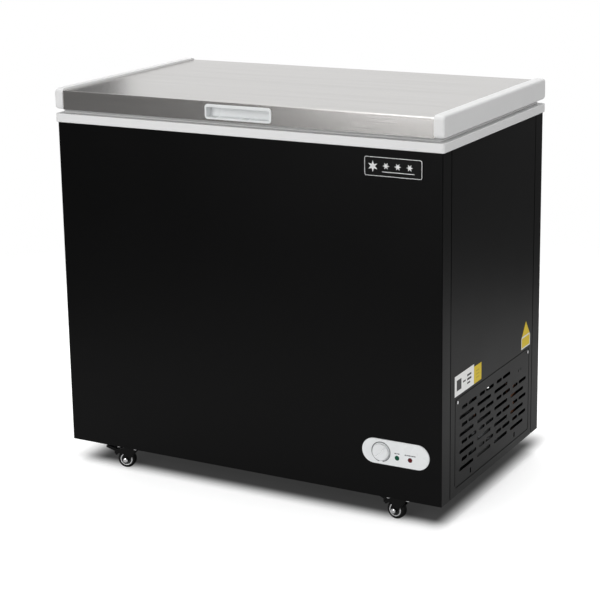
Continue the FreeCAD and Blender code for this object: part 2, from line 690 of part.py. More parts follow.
def evaporator():
    """The cold tube round the liner, one ring above another, joined at the back."""
    out = "tube_radius + 0.5"
    side = f"cavity_side + {out}"
    front = f"cavity_front - ({out})"
    back = f"cavity_back + {out}"
    levels = ring_levels("evaporator_rings", "evaporator_drop", "evaporator_pitch")
    ends = [("-bend * 1.5", back), ("bend * 1.5", back)]
    loop = [(f"-({side})", back), (f"-({side})", front), (side, front), (side, back)]
    node("evaporator_coil", tube("EvaporatorCoil", coil_route(levels, ends, loop), "tube_radius", "bend"))


def condenser():
    """The warm tube behind the side and front panels, which carries the heat away."""
    inset = "tube_radius + 0.5"
    side = f"flange_inner - ({inset})"
    front = f"front_inner + {inset}"
    levels = ring_levels("condenser_rings", "condenser_drop", "condenser_pitch")
    ends = [(side, "seam_back - 30"), (f"-({side})", "seam_back - 30")]
    loop = [(side, front), (f"-({side})", front)]
    node("condenser_coil", tube("CondenserCoil", coil_route(levels, ends, loop), "tube_radius", "bend"))


def bay_pipes():
    """The pipes from the compressor up to the bay's ceiling."""
    top = "bay_top - bay_sheet"
    for name, label, x, y in (("DischargePipe", "discharge_pipe", "bay_middle - 28", "middle + 95"),
                              ("SuctionPipe", "suction_pipe", "bay_middle + 28", "middle + 110")):
        start = "middle + sqrt(compressor_radius^2 - (28 - tube_radius)^2) + 0.1"
        route = [(x, start, "mount_top + 40"), (x, y, "mount_top + 40"), (x, y, top)]
        node(label, tube(name, route, "tube_radius", 14))


# ---------------------------------------------------------------- insulation, liner and collar

def liner_form(name, shrink, top):
    """The cavity's shape, with its step over the compressor bay, made smaller by a thickness."""
    side = f"cavity_side - ({shrink})"
    y = (f"cavity_front + {shrink}", f"cavity_back - ({shrink})")
    corner = f"cavity_radius - ({shrink})"
    upper = prism(name + "Upper", (f"-({side})", side), y, (f"step_top + {shrink}", top), corner)
    lower = prism(name + "Lower", (f"-({side})", f"step_left - ({shrink})"), y,
                  (f"cavity_floor + {shrink}", f"step_top + {shrink} + 30"), corner)
    return joined(name, upper, lower)


def liner_and_foam():
    """The pressed liner, and the foam that fills the walls round it."""
    form = liner_form("LinerForm", "0", "shell_top")
    hollow = liner_form("LinerHollow", "liner_sheet", "shell_top + 5")
    drain = rod("LinerDrainHole", UP, ("drain_x", "drain_y", "cavity_floor - 5"), 20,
                "drain_bore + drain_wall + 0.1")
    node("inner_liner", without("InnerLiner", form, hollow, drain))

    whole = block("FoamBlock", ("-flange_inner", "flange_inner"), ("front_inner", "back_inner"),
                  ("base_top", "shell_top"))
    bay = block("FoamBay", ("bay_left", "half_width"), ("shell_front", "shell_back"),
                ("shell_bottom", "bay_top"))
    rail_space = block("FoamRail", ("caster_x_left - rail_width / 2", "caster_x_left + rail_width / 2"),
                       ("shell_front", "shell_back"), ("shell_bottom", "rail_top"))
    drain_hole = rod("FoamDrainHole", UP, ("drain_x", "drain_y", "shell_bottom"), "floor_wall + 5",
                     "drain_bore + drain_wall + 0.1")
    half = "(tube_radius + 0.5)"
    elbow = "(channel + bend)"
    channels = []
    cold = ring_levels("evaporator_rings", "evaporator_drop", "evaporator_pitch")
    for i, level in enumerate(cold):
        channels.append(block(f"ColdChannel{i}", ("-(cavity_side + channel)", "cavity_side + channel"),
                              ("cavity_front - channel", "cavity_back + channel"),
                              (f"{level} - {half}", f"{level} + {half}")))
    channels.append(block("ColdDownpipe", ("-bend * 2.6", "bend * 2.6"),
                          ("cavity_back - 1", "cavity_back + channel"),
                          (f"{cold[-1]} - {half}", f"{cold[0]} + {half}")))
    warm = ring_levels("condenser_rings", "condenser_drop", "condenser_pitch")
    for i, level in enumerate(warm):
        z = (f"{level} - {half}", f"{level} + {half}")
        channels.append(block(f"WarmFront{i}", ("-flange_inner", "flange_inner"),
                              ("front_inner", "front_inner + channel"), z))
        for side, x in (("Left", ("-flange_inner", "channel - flange_inner")),
                        ("Right", ("flange_inner - channel", "flange_inner"))):
            channels.append(block(f"Warm{side}{i}", x, ("front_inner", f"seam_back - 30 + {half}"), z))
        for side, x in (("Left", ("-flange_inner", f"{elbow} - flange_inner")),
                        ("Right", (f"flange_inner - {elbow}", "flange_inner"))):
            channels.append(block(f"WarmElbow{side}{i}", x, ("front_inner", f"front_inner + {elbow}"), z))
    for side, x in (("Left", ("-flange_inner", "channel - flange_inner")),
                    ("Right", ("flange_inner - channel", "flange_inner"))):
        channels.append(block(f"WarmDownpipe{side}", x, ("seam_back - 30 - bend", f"seam_back - 30 + {half}"),
                              (f"{warm[-1]} - {half}", f"{warm[0]} + {half}")))
    node("cabinet_foam", without("CabinetFoam", whole, form, bay, rail_space, drain_hole, *channels))


def top_collar():
    """The moulded frame round the opening, with the ledge that the basket hangs on."""
    body = doc.addObject("PartDesign::Body", "TopCollar")
    plan = sketch_on(body, "XY_Plane", "CollarPlan", "shell_top")
    rectangle(plan, ("-collar_side", "collar_side"), ("collar_front", "collar_back"), "collar_radius")
    inner = "cavity_radius - liner_sheet"
    gap = "liner_sheet"
    rectangle(plan, (f"{gap} - cavity_side", f"cavity_side - {gap}"),
              (f"cavity_front + {gap}", f"cavity_back - {gap}"), inner)
    pad(body, plan, "collar_height")
    ledge = sketch_on(body, "XY_Plane", "LedgePlan", "collar_top")
    reach = "(ledge_width - liner_sheet)"
    rectangle(ledge, (f"-(cavity_side + {reach})", f"cavity_side + {reach}"),
              (f"cavity_front - {reach}", f"cavity_back + {reach}"), f"{inner} + ledge_width")
    cut = pocket(body, ledge, length="ledge_depth")
    side, front, back = value("collar_side"), value("collar_front"), value("collar_back")

    def outer_edge(edge):
        box = edge.BoundBox
        level = in_plane("Z", "collar_top")(edge) or in_plane("Z", "shell_top")(edge)
        outside = (max(abs(box.XMin), abs(box.XMax)) > side - 10 or box.YMin < front + 10
                   or box.YMax > back - 10)
        return level and outside

    rounded(body, cut, "collar_edge", outer_edge)
    node("top_collar", body)


# ---------------------------------------------------------------- control panel, badge and labels

def control_bezel():
    """The white control plate, with its dial well and lamp holes."""
    body = doc.addObject("PartDesign::Body", "ControlBezel")
    face = sketch_on(body, "XZ_Plane", "BezelFace", "-shell_front")
    stadium(face, "control_x - bezel_width / 2", "control_x + bezel_width / 2", "control_z", "bezel_height")
    plate = pad(body, face, "bezel_proud")
    rounded(body, plate, 1.2, in_plane("Y", "bezel_front"))
    holes = sketch_on(body, "XZ_Plane", "BezelHoles")
    ring(holes, "knob_x", "control_z", "shaft_radius + 0.5")
    for lamp in ("lamp_x", "lamp_x + lamp_pitch"):
        ring(holes, lamp, "lamp_z", "lamp_radius + 0.1")
    pocket(body, holes, reverse=True)
    well = sketch_on(body, "XZ_Plane", "DialWell", "-bezel_front")
    ring(well, "knob_x", "control_z", "dial_radius")
    pocket(body, well, length=1)
    node("control_bezel", body)


def thermostat():
    """The thermostat behind the front panel, with the shaft that the knob turns."""
    case = block("ThermostatCase", ("knob_x - 28", "knob_x + 28"), ("front_inner + 12", "front_inner + 42"),
                 ("control_z - 18", "control_z + 18"))
    stem = rod("ThermostatStem", ALONG_Y, ("knob_x", "bezel_front - 2", "control_z"),
               "steel + bezel_proud + 14", "shaft_radius")
    node("thermostat", joined("Thermostat", case, stem))


def lamp(name, label, x):
    """A pilot lamp: a domed lens on a stem."""
    length = "bezel_proud + lamp_proud + 12"
    body = rod(name, ALONG_Y, (x, "bezel_front - lamp_proud", "lamp_z"), length, "lamp_radius")
    node(label, body)


def knob():
    """The dial knob, with a finger ridge across it."""
    body = doc.addObject("PartDesign::Body", "Knob")
    back = "bezel_front + 1 - knob_gap"
    disc = sketch_on(body, "XZ_Plane", "KnobDisc", f"-({back})")
    ring(disc, "knob_x", "control_z", "knob_radius")
    plate = pad(body, disc, "4.5")
    rounded(body, plate, 1.5, in_plane("Y", f"{back} - 4.5"))
    ridge = sketch_on(body, "XZ_Plane", "KnobRidge", f"-({back} - 4.5)")
    long, thin = value("knob_radius") * 0.86, 3.2
    slope = math.radians(45)
    along = Vector(math.cos(slope), math.sin(slope), 0) * long
    across = Vector(-math.sin(slope), math.cos(slope), 0) * thin
    corners = [along + across, -along + across, -along - across, along - across]
    polygon(ridge, [(f"knob_x + {c.x:.4f}", f"control_z + {c.y:.4f}") for c in corners])
    pad(body, ridge, "knob_proud + 1 - knob_gap - 4.5")
    bore = sketch_on(body, "XZ_Plane", "KnobBore", f"-({back})")
    ring(bore, "knob_x", "control_z", "shaft_radius + axle_fit")
    pocket(body, bore, reverse=True, length="3.4")
    node("thermostat_knob", body)


def badge():
    """The plate at the front's top right corner: a plain ground inside a raised rim."""
    body = doc.addObject("PartDesign::Body", "Badge")
    face = sketch_on(body, "XZ_Plane", "BadgeFace", "-shell_front")
    x = ("badge_x - badge_width / 2", "badge_x + badge_width / 2")
    z = ("badge_z - badge_height / 2", "badge_z + badge_height / 2")
    rectangle(face, x, z, "badge_corner")
    pad(body, face, "badge_sheet")
    ground = sketch_on(body, "XZ_Plane", "BadgeGround", "-(shell_front - badge_sheet)")
    rectangle(ground, (f"{x[0]} + 2", f"{x[1]} - 2"), (f"{z[0]} + 2", f"{z[1]} - 2"), "badge_corner - 2")
    pocket(body, ground, length=0.6)
    node("badge", body)


def labels():
    """The plain white, yellow and house-shaped labels over the grille."""
    x = ("half_width", "half_width + label_sheet")
    bottom = "grille_top + 5"
    front = "grille_front - 2"
    node("rating_label", block("RatingLabel", x, (front, f"{front} + label_width"),
                               (bottom, f"{bottom} + label_height")))
    tag_front = f"{front} + label_width"
    node("class_label", block("ClassLabel", x, (tag_front, f"{tag_front} + tag_width"),
                              (bottom, f"{bottom} + tag_height")))
    body = doc.addObject("PartDesign::Body", "CautionLabel")
    face = sketch_on(body, "YZ_Plane", "CautionFace", "half_width")
    right = "grille_back + 3"
    left = f"{right} - caution_width"
    polygon(face, [(left, bottom), (right, bottom), (right, f"{bottom} + caution_shoulder"),
                   (f"{right} - caution_width / 2", f"{bottom} + caution_height"),
                   (left, f"{bottom} + caution_shoulder")])
    pad(body, face, "label_sheet")
    node("caution_label", body)


def cord_gland():
    """The strain relief in the back, where the mains cord goes in."""
    x, z = "half_width - 60", "shell_bottom + 42"
    flange = rod("GlandFlange", ALONG_Y, (x, "shell_back", z), 3, 12)
    barrel = rod("GlandBarrel", ALONG_Y, (x, "shell_back - 12", z), 24, 8.8)
    bore = rod("GlandBore", ALONG_Y, (x, "shell_back - 14", z), 30, 3.6)
    node("cord_gland", without("CordGland", joined("GlandBody", flange, barrel), bore))


def drain():
    """The drain tube through the floor, capped at the bottom, and the plug that closes its top."""
    bottom = "base_bottom - 2"
    lip = "cavity_floor + liner_sheet + 1.5"
    outer = rod("DrainOuter", UP, ("drain_x", "drain_y", bottom), f"{lip} - ({bottom})",
                "drain_bore + drain_wall")
    flange = rod("DrainFlange", UP, ("drain_x", "drain_y", "cavity_floor + liner_sheet"), 1.5,
                 "drain_bore + drain_wall + 5")
    bore = rod("DrainBore", UP, ("drain_x", "drain_y", f"{bottom} + drain_cap"), f"{lip} - ({bottom})",
               "drain_bore")
    node("drain_tube", without("DrainTube", joined("DrainWall", outer, flange), bore))
    stem = rod("PlugStem", UP, ("drain_x", "drain_y", f"{lip} - 14"), 14, "drain_bore - plug_fit")
    head = rod("PlugHead", UP, ("drain_x", "drain_y", lip), 4, "plug_head")
    grip = block("PlugGrip", ("drain_x - 2", "drain_x + 2"), ("drain_y - 9", "drain_y + 9"),
                 (f"{lip} + 4", f"{lip} + 14"))
    node("drain_plug", joined("DrainPlug", stem, head, grip))


# ---------------------------------------------------------------- hinges

def hinge_spans():
    """Where the ears, the arm's knuckles and the spring lie along the pin, from the middle."""
    outer = "hinge_width / 2"
    ear = f"{outer} - hinge_ear"
    arm_out = f"{ear} - hinge_play"
    arm_in = f"{arm_out} - hinge_knuckle"
    return outer, ear, arm_out, arm_in


def knuckle(name, x, low, high):
    """A bored barrel round the hinge pin."""
    return rod(name, ALONG_X, (f"{x} + {low}", "pin_y", "lid_bottom"), f"({high}) - ({low})", "knuckle_radius")


def across(name, points, low, high):
    """A profile seen from the side, raised between two places along X."""
    body = doc.addObject("PartDesign::Body", name)
    face = sketch_on(body, "YZ_Plane", name + "Face", low)
    polygon(face, points)
    pad(body, face, f"({high}) - ({low})")
    return body


def hinge(tag, x):
    """One hinge: its base on the back panel and its arm on the lid."""
    outer, ear, arm_out, arm_in = hinge_spans()
    web_top = "lid_bottom - knuckle_radius - 2"
    tail = "lid_bottom - hinge_tail"
    bend_z = "shell_top - 22"
    plate = "shell_back + hinge_plate"
    base = across(f"HingeBase{tag}", [
        ("shell_back", tail), (plate, tail), (plate, bend_z), ("pin_y + 2", "shell_top - 4"),
        ("pin_y + 2", web_top), ("pin_y - 2", web_top), ("pin_y - 2", "shell_top - 2"),
        ("shell_back", f"{bend_z} + 3")], f"{x} - {outer}", f"{x} + {outer}")
    pieces = [base]
    for side, low, high in (("A", f"-({outer})", f"-({ear})"), ("B", ear, outer)):
        pieces.append(block(f"HingeEar{tag}{side}", (f"{x} + {low}", f"{x} + {high}"),
                            ("pin_y - 2", "pin_y + 2"), (f"{web_top} - 1", "lid_bottom")))
        pieces.append(knuckle(f"HingeBarrel{tag}{side}", x, low, high))
    bore = rod(f"HingeBore{tag}", ALONG_X, (f"{x} - hinge_width", "pin_y", "lid_bottom"),
               "hinge_width * 2", "pin_radius + pin_fit")
    node(f"hinge_base_{tag.lower()}", without(f"HingeBaseBored{tag}",
                                              joined(f"HingeBaseJoined{tag}", *pieces), bore))

    face = "skin_back"
    arm = [across(f"HingeArm{tag}", [
        (face, "lid_bottom + 9"), (f"{face} + 2.5", "lid_bottom + 9"), (f"{face} + 2.5", "lid_bottom + 36"),
        (face, "lid_bottom + 36")], f"{x} - {outer}", f"{x} + {outer}")]
    for side, low, high in (("A", f"-({arm_out})", f"-({arm_in})"), ("B", arm_in, arm_out)):
        arm.append(across(f"HingeWeb{tag}{side}", [
            (f"{face} + 2", "lid_bottom + 10"), ("pin_y - 3", "lid_bottom - 2"), ("pin_y + 3", "lid_bottom + 4"),
            (f"{face} + 2", "lid_bottom + 20")], f"{x} + {low}", f"{x} + {high}"))
        arm.append(knuckle(f"HingeArmBarrel{tag}{side}", x, low, high))
    arm_bore = rod(f"HingeArmBore{tag}", ALONG_X, (f"{x} - hinge_width", "pin_y", "lid_bottom"),
                   "hinge_width * 2", "pin_radius + pin_fit")
    node(f"hinge_arm_{tag.lower()}", without(f"HingeArmBored{tag}",
                                             joined(f"HingeArmJoined{tag}", *arm), arm_bore))


def hinge_pins_and_springs():
    """The two pins, and the torsion springs that help to lift the lid."""
    pins = []
    springs = []
    for tag, x in (("Left", "-hinge_spacing / 2"), ("Right", "hinge_spacing / 2")):
        start = f"{x} - hinge_width / 2 - 2"
        shaft = rod(f"Pin{tag}Shaft", ALONG_X, (start, "pin_y", "lid_bottom"), "hinge_width + 4", "pin_radius")
        head = rod(f"Pin{tag}Head", ALONG_X, (start, "pin_y", "lid_bottom"), 1.8, "pin_radius + 1.5")
        pins.append(joined(f"Pin{tag}", shaft, head))
        helix = doc.addObject("Part::Helix", f"Spring{tag}Path")
        helix.Placement = Placement(Vector(), ALONG_X)
        helix.setExpression("Pitch", full("spring_wire * 1.25"))
        helix.setExpression("Height", full("spring_wire * 1.25 * spring_turns"))
        helix.setExpression("Radius", full("spring_radius"))
        helix.setExpression("Placement.Base.x", full(f"{x} - spring_wire * 1.25 * spring_turns / 2"))
        helix.setExpression("Placement.Base.y", full("pin_y"))
        helix.setExpression("Placement.Base.z", full("lid_bottom"))
        wire = doc.addObject("Part::Circle", f"Spring{tag}Wire")
        wire.setExpression("Radius", full("spring_wire / 2"))
        wire.Placement = Placement(Vector(), Rotation(Vector(1, 0, 0), 90))
        wire.setExpression("Placement.Base.x", full(f"{x} - spring_wire * 1.25 * spring_turns / 2"))
        wire.setExpression("Placement.Base.y", full("pin_y"))
        wire.setExpression("Placement.Base.z", full("lid_bottom - spring_radius"))
        spring = doc.addObject("Part::Sweep", f"Spring{tag}")
        spring.Sections = [wire]
        spring.Spine = (helix, [])
        spring.Solid = True
        spring.Frenet = True
        springs.append(spring)
    node("hinge_pins", grouped("HingePins", *pins))
    node("hinge_springs", grouped("HingeSprings", *springs))


# ---------------------------------------------------------------- lid

def lid_skin():
    """The brushed steel skin, bent down at the front and the back and hemmed under."""
    body = doc.addObject("PartDesign::Body", "LidSkin")
    end = sketch_on(body, "YZ_Plane", "SkinEnd", "-cap_inner")
    front, back = "skin_front", "skin_back"
    inner_low = "lid_bottom + steel"
    inner_high = "skin_top - steel"
    outline(end, [
        (f"{front} + hem", "lid_bottom"), (f"{front} + hem", inner_low), (f"{front} + steel", inner_low),
        (f"{front} + steel", inner_high), (f"{back} - steel", inner_high), (f"{back} - steel", inner_low),
        (f"{back} - hem", inner_low), (f"{back} - hem", "lid_bottom"), (back, "lid_bottom"),
        (back, "skin_top"), (front, "skin_top"), (front, "lid_bottom")],
        {3: "bend_radius - steel", 4: "bend_radius - steel", 9: "bend_radius", 10: "bend_radius"})
    pad(body, end, "cap_inner * 2")
    hole = sketch_on(body, "XZ_Plane", "HandleHole")
    rectangle(hole, ("handle_rim / 2 - handle_width / 2", "handle_width / 2 - handle_rim / 2"),
              ("handle_bottom + handle_rim / 2", "handle_top - handle_rim / 2"), "handle_corner - 2")
    pocket(body, hole, reverse=True)
    node("lid_skin", body)


def lid_cap(label, name, sign):
    """A moulded end cap, hollow from inside, with soft outer edges."""
    body = doc.addObject("PartDesign::Body", name)
    inner = "cap_inner" if sign > 0 else "-cap_inner"
    face = sketch_on(body, "YZ_Plane", name + "Side", inner)
    rectangle(face, ("collar_front", "collar_back"), ("lid_bottom", "lid_top"), "cap_corner")
    shell = pad(body, face, "cap_width", reverse=sign < 0)
    outside = "collar_side" if sign > 0 else "-collar_side"
    rounded(body, shell, "cap_edge - 1.5", in_plane("X", outside))
    hollow = sketch_on(body, "YZ_Plane", name + "Hollow", inner)
    rectangle(hollow, ("collar_front + cap_wall", "collar_back - cap_wall"),
              ("lid_bottom + cap_wall", "lid_top - cap_wall"), "cap_corner - cap_wall + 1")
    pocket(body, hollow, reverse=sign > 0, length="cap_width - cap_wall")
    node(label, body)


def lid_inside():
    """The lid's foam, its moulded liner and the seal round it."""
    x = ("-cap_inner", "cap_inner")
    y = ("skin_front + steel", "skin_back - steel")
    low = "lid_bottom + steel"
    plate = block("LidPlate", x, y, (low, f"{low} + lid_liner_sheet"))
    inset = "(gasket_setback + gasket_width + plug_margin)"
    plug_x = (f"{inset} - collar_side", f"collar_side - {inset}")
    plug_y = (f"collar_front + {inset}", f"collar_back - {inset}")
    thick = "lid_liner_sheet"
    plug = prism("LidPlug", plug_x, plug_y, ("lid_bottom - plug_drop", low), "cavity_radius")
    hollow = prism("LidPlugHollow", (f"{plug_x[0]} + {thick}", f"{plug_x[1]} - {thick}"),
                   (f"{plug_y[0]} + {thick}", f"{plug_y[1]} - {thick}"),
                   (f"lid_bottom - plug_drop + {thick}", f"{low} + 5"), "cavity_radius - lid_liner_sheet")
    node("lid_liner", without("LidLiner", joined("LidPan", plate, plug), hollow))

    foam = doc.addObject("PartDesign::Body", "LidFoamBlock")
    end = sketch_on(foam, "YZ_Plane", "LidFoamEnd", "-cap_inner")
    base, top = f"{low} + lid_liner_sheet", "skin_top - steel"
    outline(end, [(y[0], base), (y[1], base), (y[1], top), (y[0], top)], {2: "bend_radius", 3: "bend_radius"})
    pad(foam, end, "cap_inner * 2")
    cup = block("LidFoamCup", ("-handle_width / 2", "handle_width / 2"),
                ("skin_front", "skin_front + handle_depth + handle_wall"), ("handle_bottom", "handle_top"))
    node("lid_foam", without("LidFoam", foam, cup))

    seal = doc.addObject("PartDesign::Body", "LidGasket")
    plan = sketch_on(seal, "XY_Plane", "GasketPlan", "collar_top + gasket_clearance")
    setback = "gasket_setback"
    rectangle(plan, (f"{setback} - collar_side", f"collar_side - {setback}"),
              (f"collar_front + {setback}", f"collar_back - {setback}"), "gasket_radius")
    inner = "(gasket_setback + gasket_width)"
    rectangle(plan, (f"{inner} - collar_side", f"collar_side - {inner}"),
              (f"collar_front + {inner}", f"collar_back - {inner}"), 4)
    pad(seal, plan, "seal_gap - gasket_clearance")
    node("lid_gasket", seal)


def lid_handle():
    """The recessed pull in the lid's front: a rim, and a cup for the fingers."""
    body = doc.addObject("PartDesign::Body", "LidHandle")
    half = "handle_width / 2"
    rim = sketch_on(body, "XZ_Plane", "HandleRim", "-skin_front")
    rectangle(rim, (f"-{half}", half), ("handle_bottom", "handle_top"), "handle_corner")
    front = pad(body, rim, "skin_setback")
    rounded(body, front, 1.2, in_plane("Y", "collar_front"))
    inset = "(handle_rim - handle_wall)"
    cup = sketch_on(body, "XZ_Plane", "HandleCup", "-skin_front")
    rectangle(cup, (f"{inset} - {half}", f"{half} - {inset}"),
              (f"handle_bottom + {inset}", f"handle_top - {inset}"), f"handle_corner - {inset}")
    pad(body, cup, "handle_depth", reverse=True)
    hollow = sketch_on(body, "XZ_Plane", "HandleHollow", "-collar_front")
    rectangle(hollow, (f"handle_rim - {half}", f"{half} - handle_rim"),
              ("handle_bottom + handle_rim", "handle_top - handle_lip"), "handle_corner - handle_rim")
    pocket(body, hollow, length="handle_depth + skin_setback - handle_wall")
    node("lid_handle", body)


# ---------------------------------------------------------------- basket

def basket():
    """The moulded basket, hung by its rim on the collar's ledges, with slotted walls."""
    gap = "basket_play"
    body = doc.addObject("PartDesign::Body", "Basket")
    y = ("cavity_front + liner_sheet + 5", "cavity_back - liner_sheet - 5")
    floor = "ledge_bottom - basket_depth"
    plan = sketch_on(body, "XY_Plane", "BasketPlan", floor)
    rectangle(plan, ("basket_left", "basket_right"), y, "basket_radius")
    pad(body, plan, "basket_depth + 0.3")
    rim = sketch_on(body, "XY_Plane", "BasketRim", "ledge_bottom + 0.3")
    reach = f"(ledge_width - {gap})"
    rectangle(rim, ("basket_left - 6", "basket_right + 6"),
              (f"cavity_front + liner_sheet - {reach}", f"cavity_back - liner_sheet + {reach}"), 5)
    pad(body, rim, "basket_rim")
    hollow = sketch_on(body, "XY_Plane", "BasketHollow", "ledge_bottom + 0.3 + basket_rim")
    wall = "basket_wall"
    rectangle(hollow, (f"basket_left + {wall}", f"basket_right - {wall}"),
              (f"{y[0]} + {wall}", f"{y[1]} - {wall}"), f"basket_radius - {wall}")
    pocket(body, hollow, length=f"basket_depth + 0.3 + basket_rim - {wall}")
    for name, plane, start, end, count in (
            ("Long", "XZ_Plane", "basket_left + 30", "basket_right - 30", 8),
            ("Short", "YZ_Plane", f"{y[0]} + 30", f"{y[1]} - 30", 14)):
        slot = sketch_on(body, plane, f"Basket{name}Slot")
        rectangle(slot, (start, f"{start} + 7"), (f"{floor} + 25", f"{floor} + basket_depth - 40"), 3.4)
        cut = body.newObject("PartDesign::Pocket", f"Basket{name}Cut")
        cut.Profile = slot
        cut.Type = 1
        cut.Midplane = True
        row = body.newObject("PartDesign::LinearPattern", f"Basket{name}Row")
        row.Originals = [cut]
        row.Direction = (slot, ["H_Axis"])
        row.setExpression("Length", full(f"({end}) - ({start}) - 7"))
        row.Occurrences = count
        body.Tip = row
    node("basket", body)


# ---------------------------------------------------------------- casters

def placed(piece, x, y, swivel):
    """Stand a caster's piece on the floor under its kingpin and swivel it."""
    piece.Placement = Placement(Vector(), Rotation(Vector(0, 0, 1), value(swivel)))
    piece.setExpression("Placement.Base.x", full(x))
    piece.setExpression("Placement.Base.y", full(y))
    piece.setExpression("Placement.Rotation.Angle", full(swivel))
    return piece


def caster_plates():
    """The four top plates with their swivel bosses."""
    plates = []
    for tag, x, y, swivel in caster_places():
        half = "caster_plate_size / 2"
        plate = block(f"Plate{tag}", (f"{x} - {half}", f"{x} + {half}"), (f"{y} - {half}", f"{y} + {half}"),
                      ("base_bottom - caster_plate_sheet", "base_bottom"))
        boss = rod(f"Boss{tag}", UP, (x, y, "base_bottom - caster_plate_sheet - fork_drop"), "fork_drop",
                   "swivel_boss")
        bore = rod(f"KingpinBore{tag}", UP, (x, y, "crown_top - 1"), "fork_drop + caster_plate_sheet + 3",
                   "kingpin_radius + axle_fit")
        holes = [rod(f"PlateHole{tag}{i}", UP, (bx, by, "base_bottom - caster_plate_sheet - 1"),
                     "caster_plate_sheet + 2", "bolt_radius + 0.2")
                 for i, (bx, by) in enumerate((f"{x} {side} bolt_pitch / 2", f"{y} {end} bolt_pitch / 2")
                                              for side in "-+" for end in "-+")]
        plates.append(without(f"CasterPlate{tag}", joined(f"PlateAndBoss{tag}", plate, boss), bore, *holes))
    node("caster_plates", grouped("CasterPlates", *plates))


def caster_bolts():
    """The sixteen bolts that hold the casters."""
    bolts = []
    for i, (x, y) in enumerate(bolt_places()):
        under = "base_bottom - caster_plate_sheet"
        shank = rod(f"BoltShank{i}", UP, (x, y, under), "caster_plate_sheet + base_sheet + 5", "bolt_radius")
        head = doc.addObject("Part::Prism", f"BoltHead{i}")
        head.Polygon = 6
        head.setExpression("Circumradius", full("bolt_head"))
        head.setExpression("Height", "3")
        for axis, place in zip("xyz", (x, y, f"{under} - 3")):
            head.setExpression(f"Placement.Base.{axis}", full(place))
        bolts.append(joined(f"Bolt{i}", shank, head))
    node("caster_bolts", grouped("CasterBolts", *bolts))


def fork(tag, x, y, swivel, braked):
    """A caster fork: crown, two cheeks and kingpin, with the axle as a second solid."""
    body = doc.addObject("PartDesign::Body", f"Fork{tag}")
    trail = "caster_trail"
    crown_low = "crown_top - fork_sheet"
    crown = sketch_on(body, "XY_Plane", f"Crown{tag}", crown_low)
    rectangle(crown, (f"-({trail}) - 5", "14"), ("-fork_outer", "fork_outer"), 4)
    pad(body, crown, "fork_sheet")
    king = sketch_on(body, "XY_Plane", f"Kingpin{tag}", "crown_top")
    ring(king, "0", "0", "kingpin_radius")
    pad(body, king, "fork_drop + caster_plate_sheet")
    cheek = [(f"-({trail}) - 4", "crown_top"), (f"-({trail}) - 7", "wheel_radius + 2"),
             (f"-({trail}) - 5", "wheel_radius - 5"), (f"-({trail}) + 2", "wheel_radius - 7"),
             (f"-({trail}) + 7", "wheel_radius - 2"), ("12", f"{crown_low} - 4"), ("12", "crown_top")]
    if braked:
        ear = [(f"-({trail}) - 26", "crown_top - 8"), (f"-({trail}) - 26", "crown_top - 15"),
               (f"-({trail}) - 18", "crown_top - 15"), (f"-({trail}) - 5", "crown_top - 11")]
        cheek[1:1] = ear
    for side, offset in (("Near", "-fork_outer"), ("Far", "fork_inner")):
        face = sketch_on(body, "XZ_Plane", f"Cheek{side}{tag}", f"-({offset}) - fork_sheet")
        polygon(face, cheek)
        pad(body, face, "fork_sheet")
    drill = sketch_on(body, "XZ_Plane", f"ForkHoles{tag}", "-(fork_outer + 1)")
    ring(drill, f"-({trail})", "wheel_radius", "axle_radius + axle_fit")
    if braked:
        ring(drill, f"-({trail}) - brake_offset", "crown_top - brake_drop", "brake_pin + axle_fit")
    hole = pocket(body, drill, reverse=False)
    hole.Midplane = True
    placed(body, x, y, swivel)
    axle = rod(f"Axle{tag}", ALONG_Y, (f"-({trail})", "-fork_outer - 3", "wheel_radius"), "fork_outer * 2 + 6",
               "axle_radius")
    ends = [rod(f"AxleEnd{tag}{side}", ALONG_Y, (f"-({trail})", start, "wheel_radius"), 3, 5.4)
            for side, start in (("A", "-fork_outer - 3"), ("B", "fork_outer"))]
    whole_axle = placed(joined(f"AxleJoined{tag}", axle, *ends), x, y, swivel)
    node(f"caster_fork_{tag}", grouped(f"CasterFork{tag}", body, whole_axle))


def wheel(tag, x, y, swivel):
    """A caster wheel: a hub with a raised ring, and a rubber tyre round it."""
    pieces = []
    half = "wheel_width / 2"
    for kind, profile in (
            ("Hub", [("axle_radius + axle_fit", f"{half} - 0.4"), ("7", f"{half} - 0.4"), ("7", f"{half} - 3"),
                     ("hub_radius - 3.2", f"{half} - 3"), ("hub_radius - 3.2", half), ("hub_radius", half)]),
            ("Tyre", [("hub_radius", half), ("wheel_radius - 2.5", half), ("wheel_radius", f"{half} - 3.5")])):
        body = doc.addObject("PartDesign::Body", f"{kind}{tag}")
        side = sketch_on(body, "XY_Plane", f"{kind}Profile{tag}")
        mirrored = [(r, f"-({y_place})") for r, y_place in reversed(profile)]
        polygon(side, profile + mirrored)
        turn = body.newObject("PartDesign::Revolution", f"{kind}Turn{tag}")
        turn.Profile = side
        turn.ReferenceAxis = (side, ["V_Axis"])
        turn.Angle = 360
        pieces.append(body)
    spun = grouped(f"WheelSolids{tag}", *pieces)
    for piece in pieces:
        piece.setExpression("Placement.Base.x", full("-caster_trail"))
        piece.setExpression("Placement.Base.z", full("wheel_radius"))
    node(f"caster_wheel_{tag}", placed(spun, x, y, swivel))


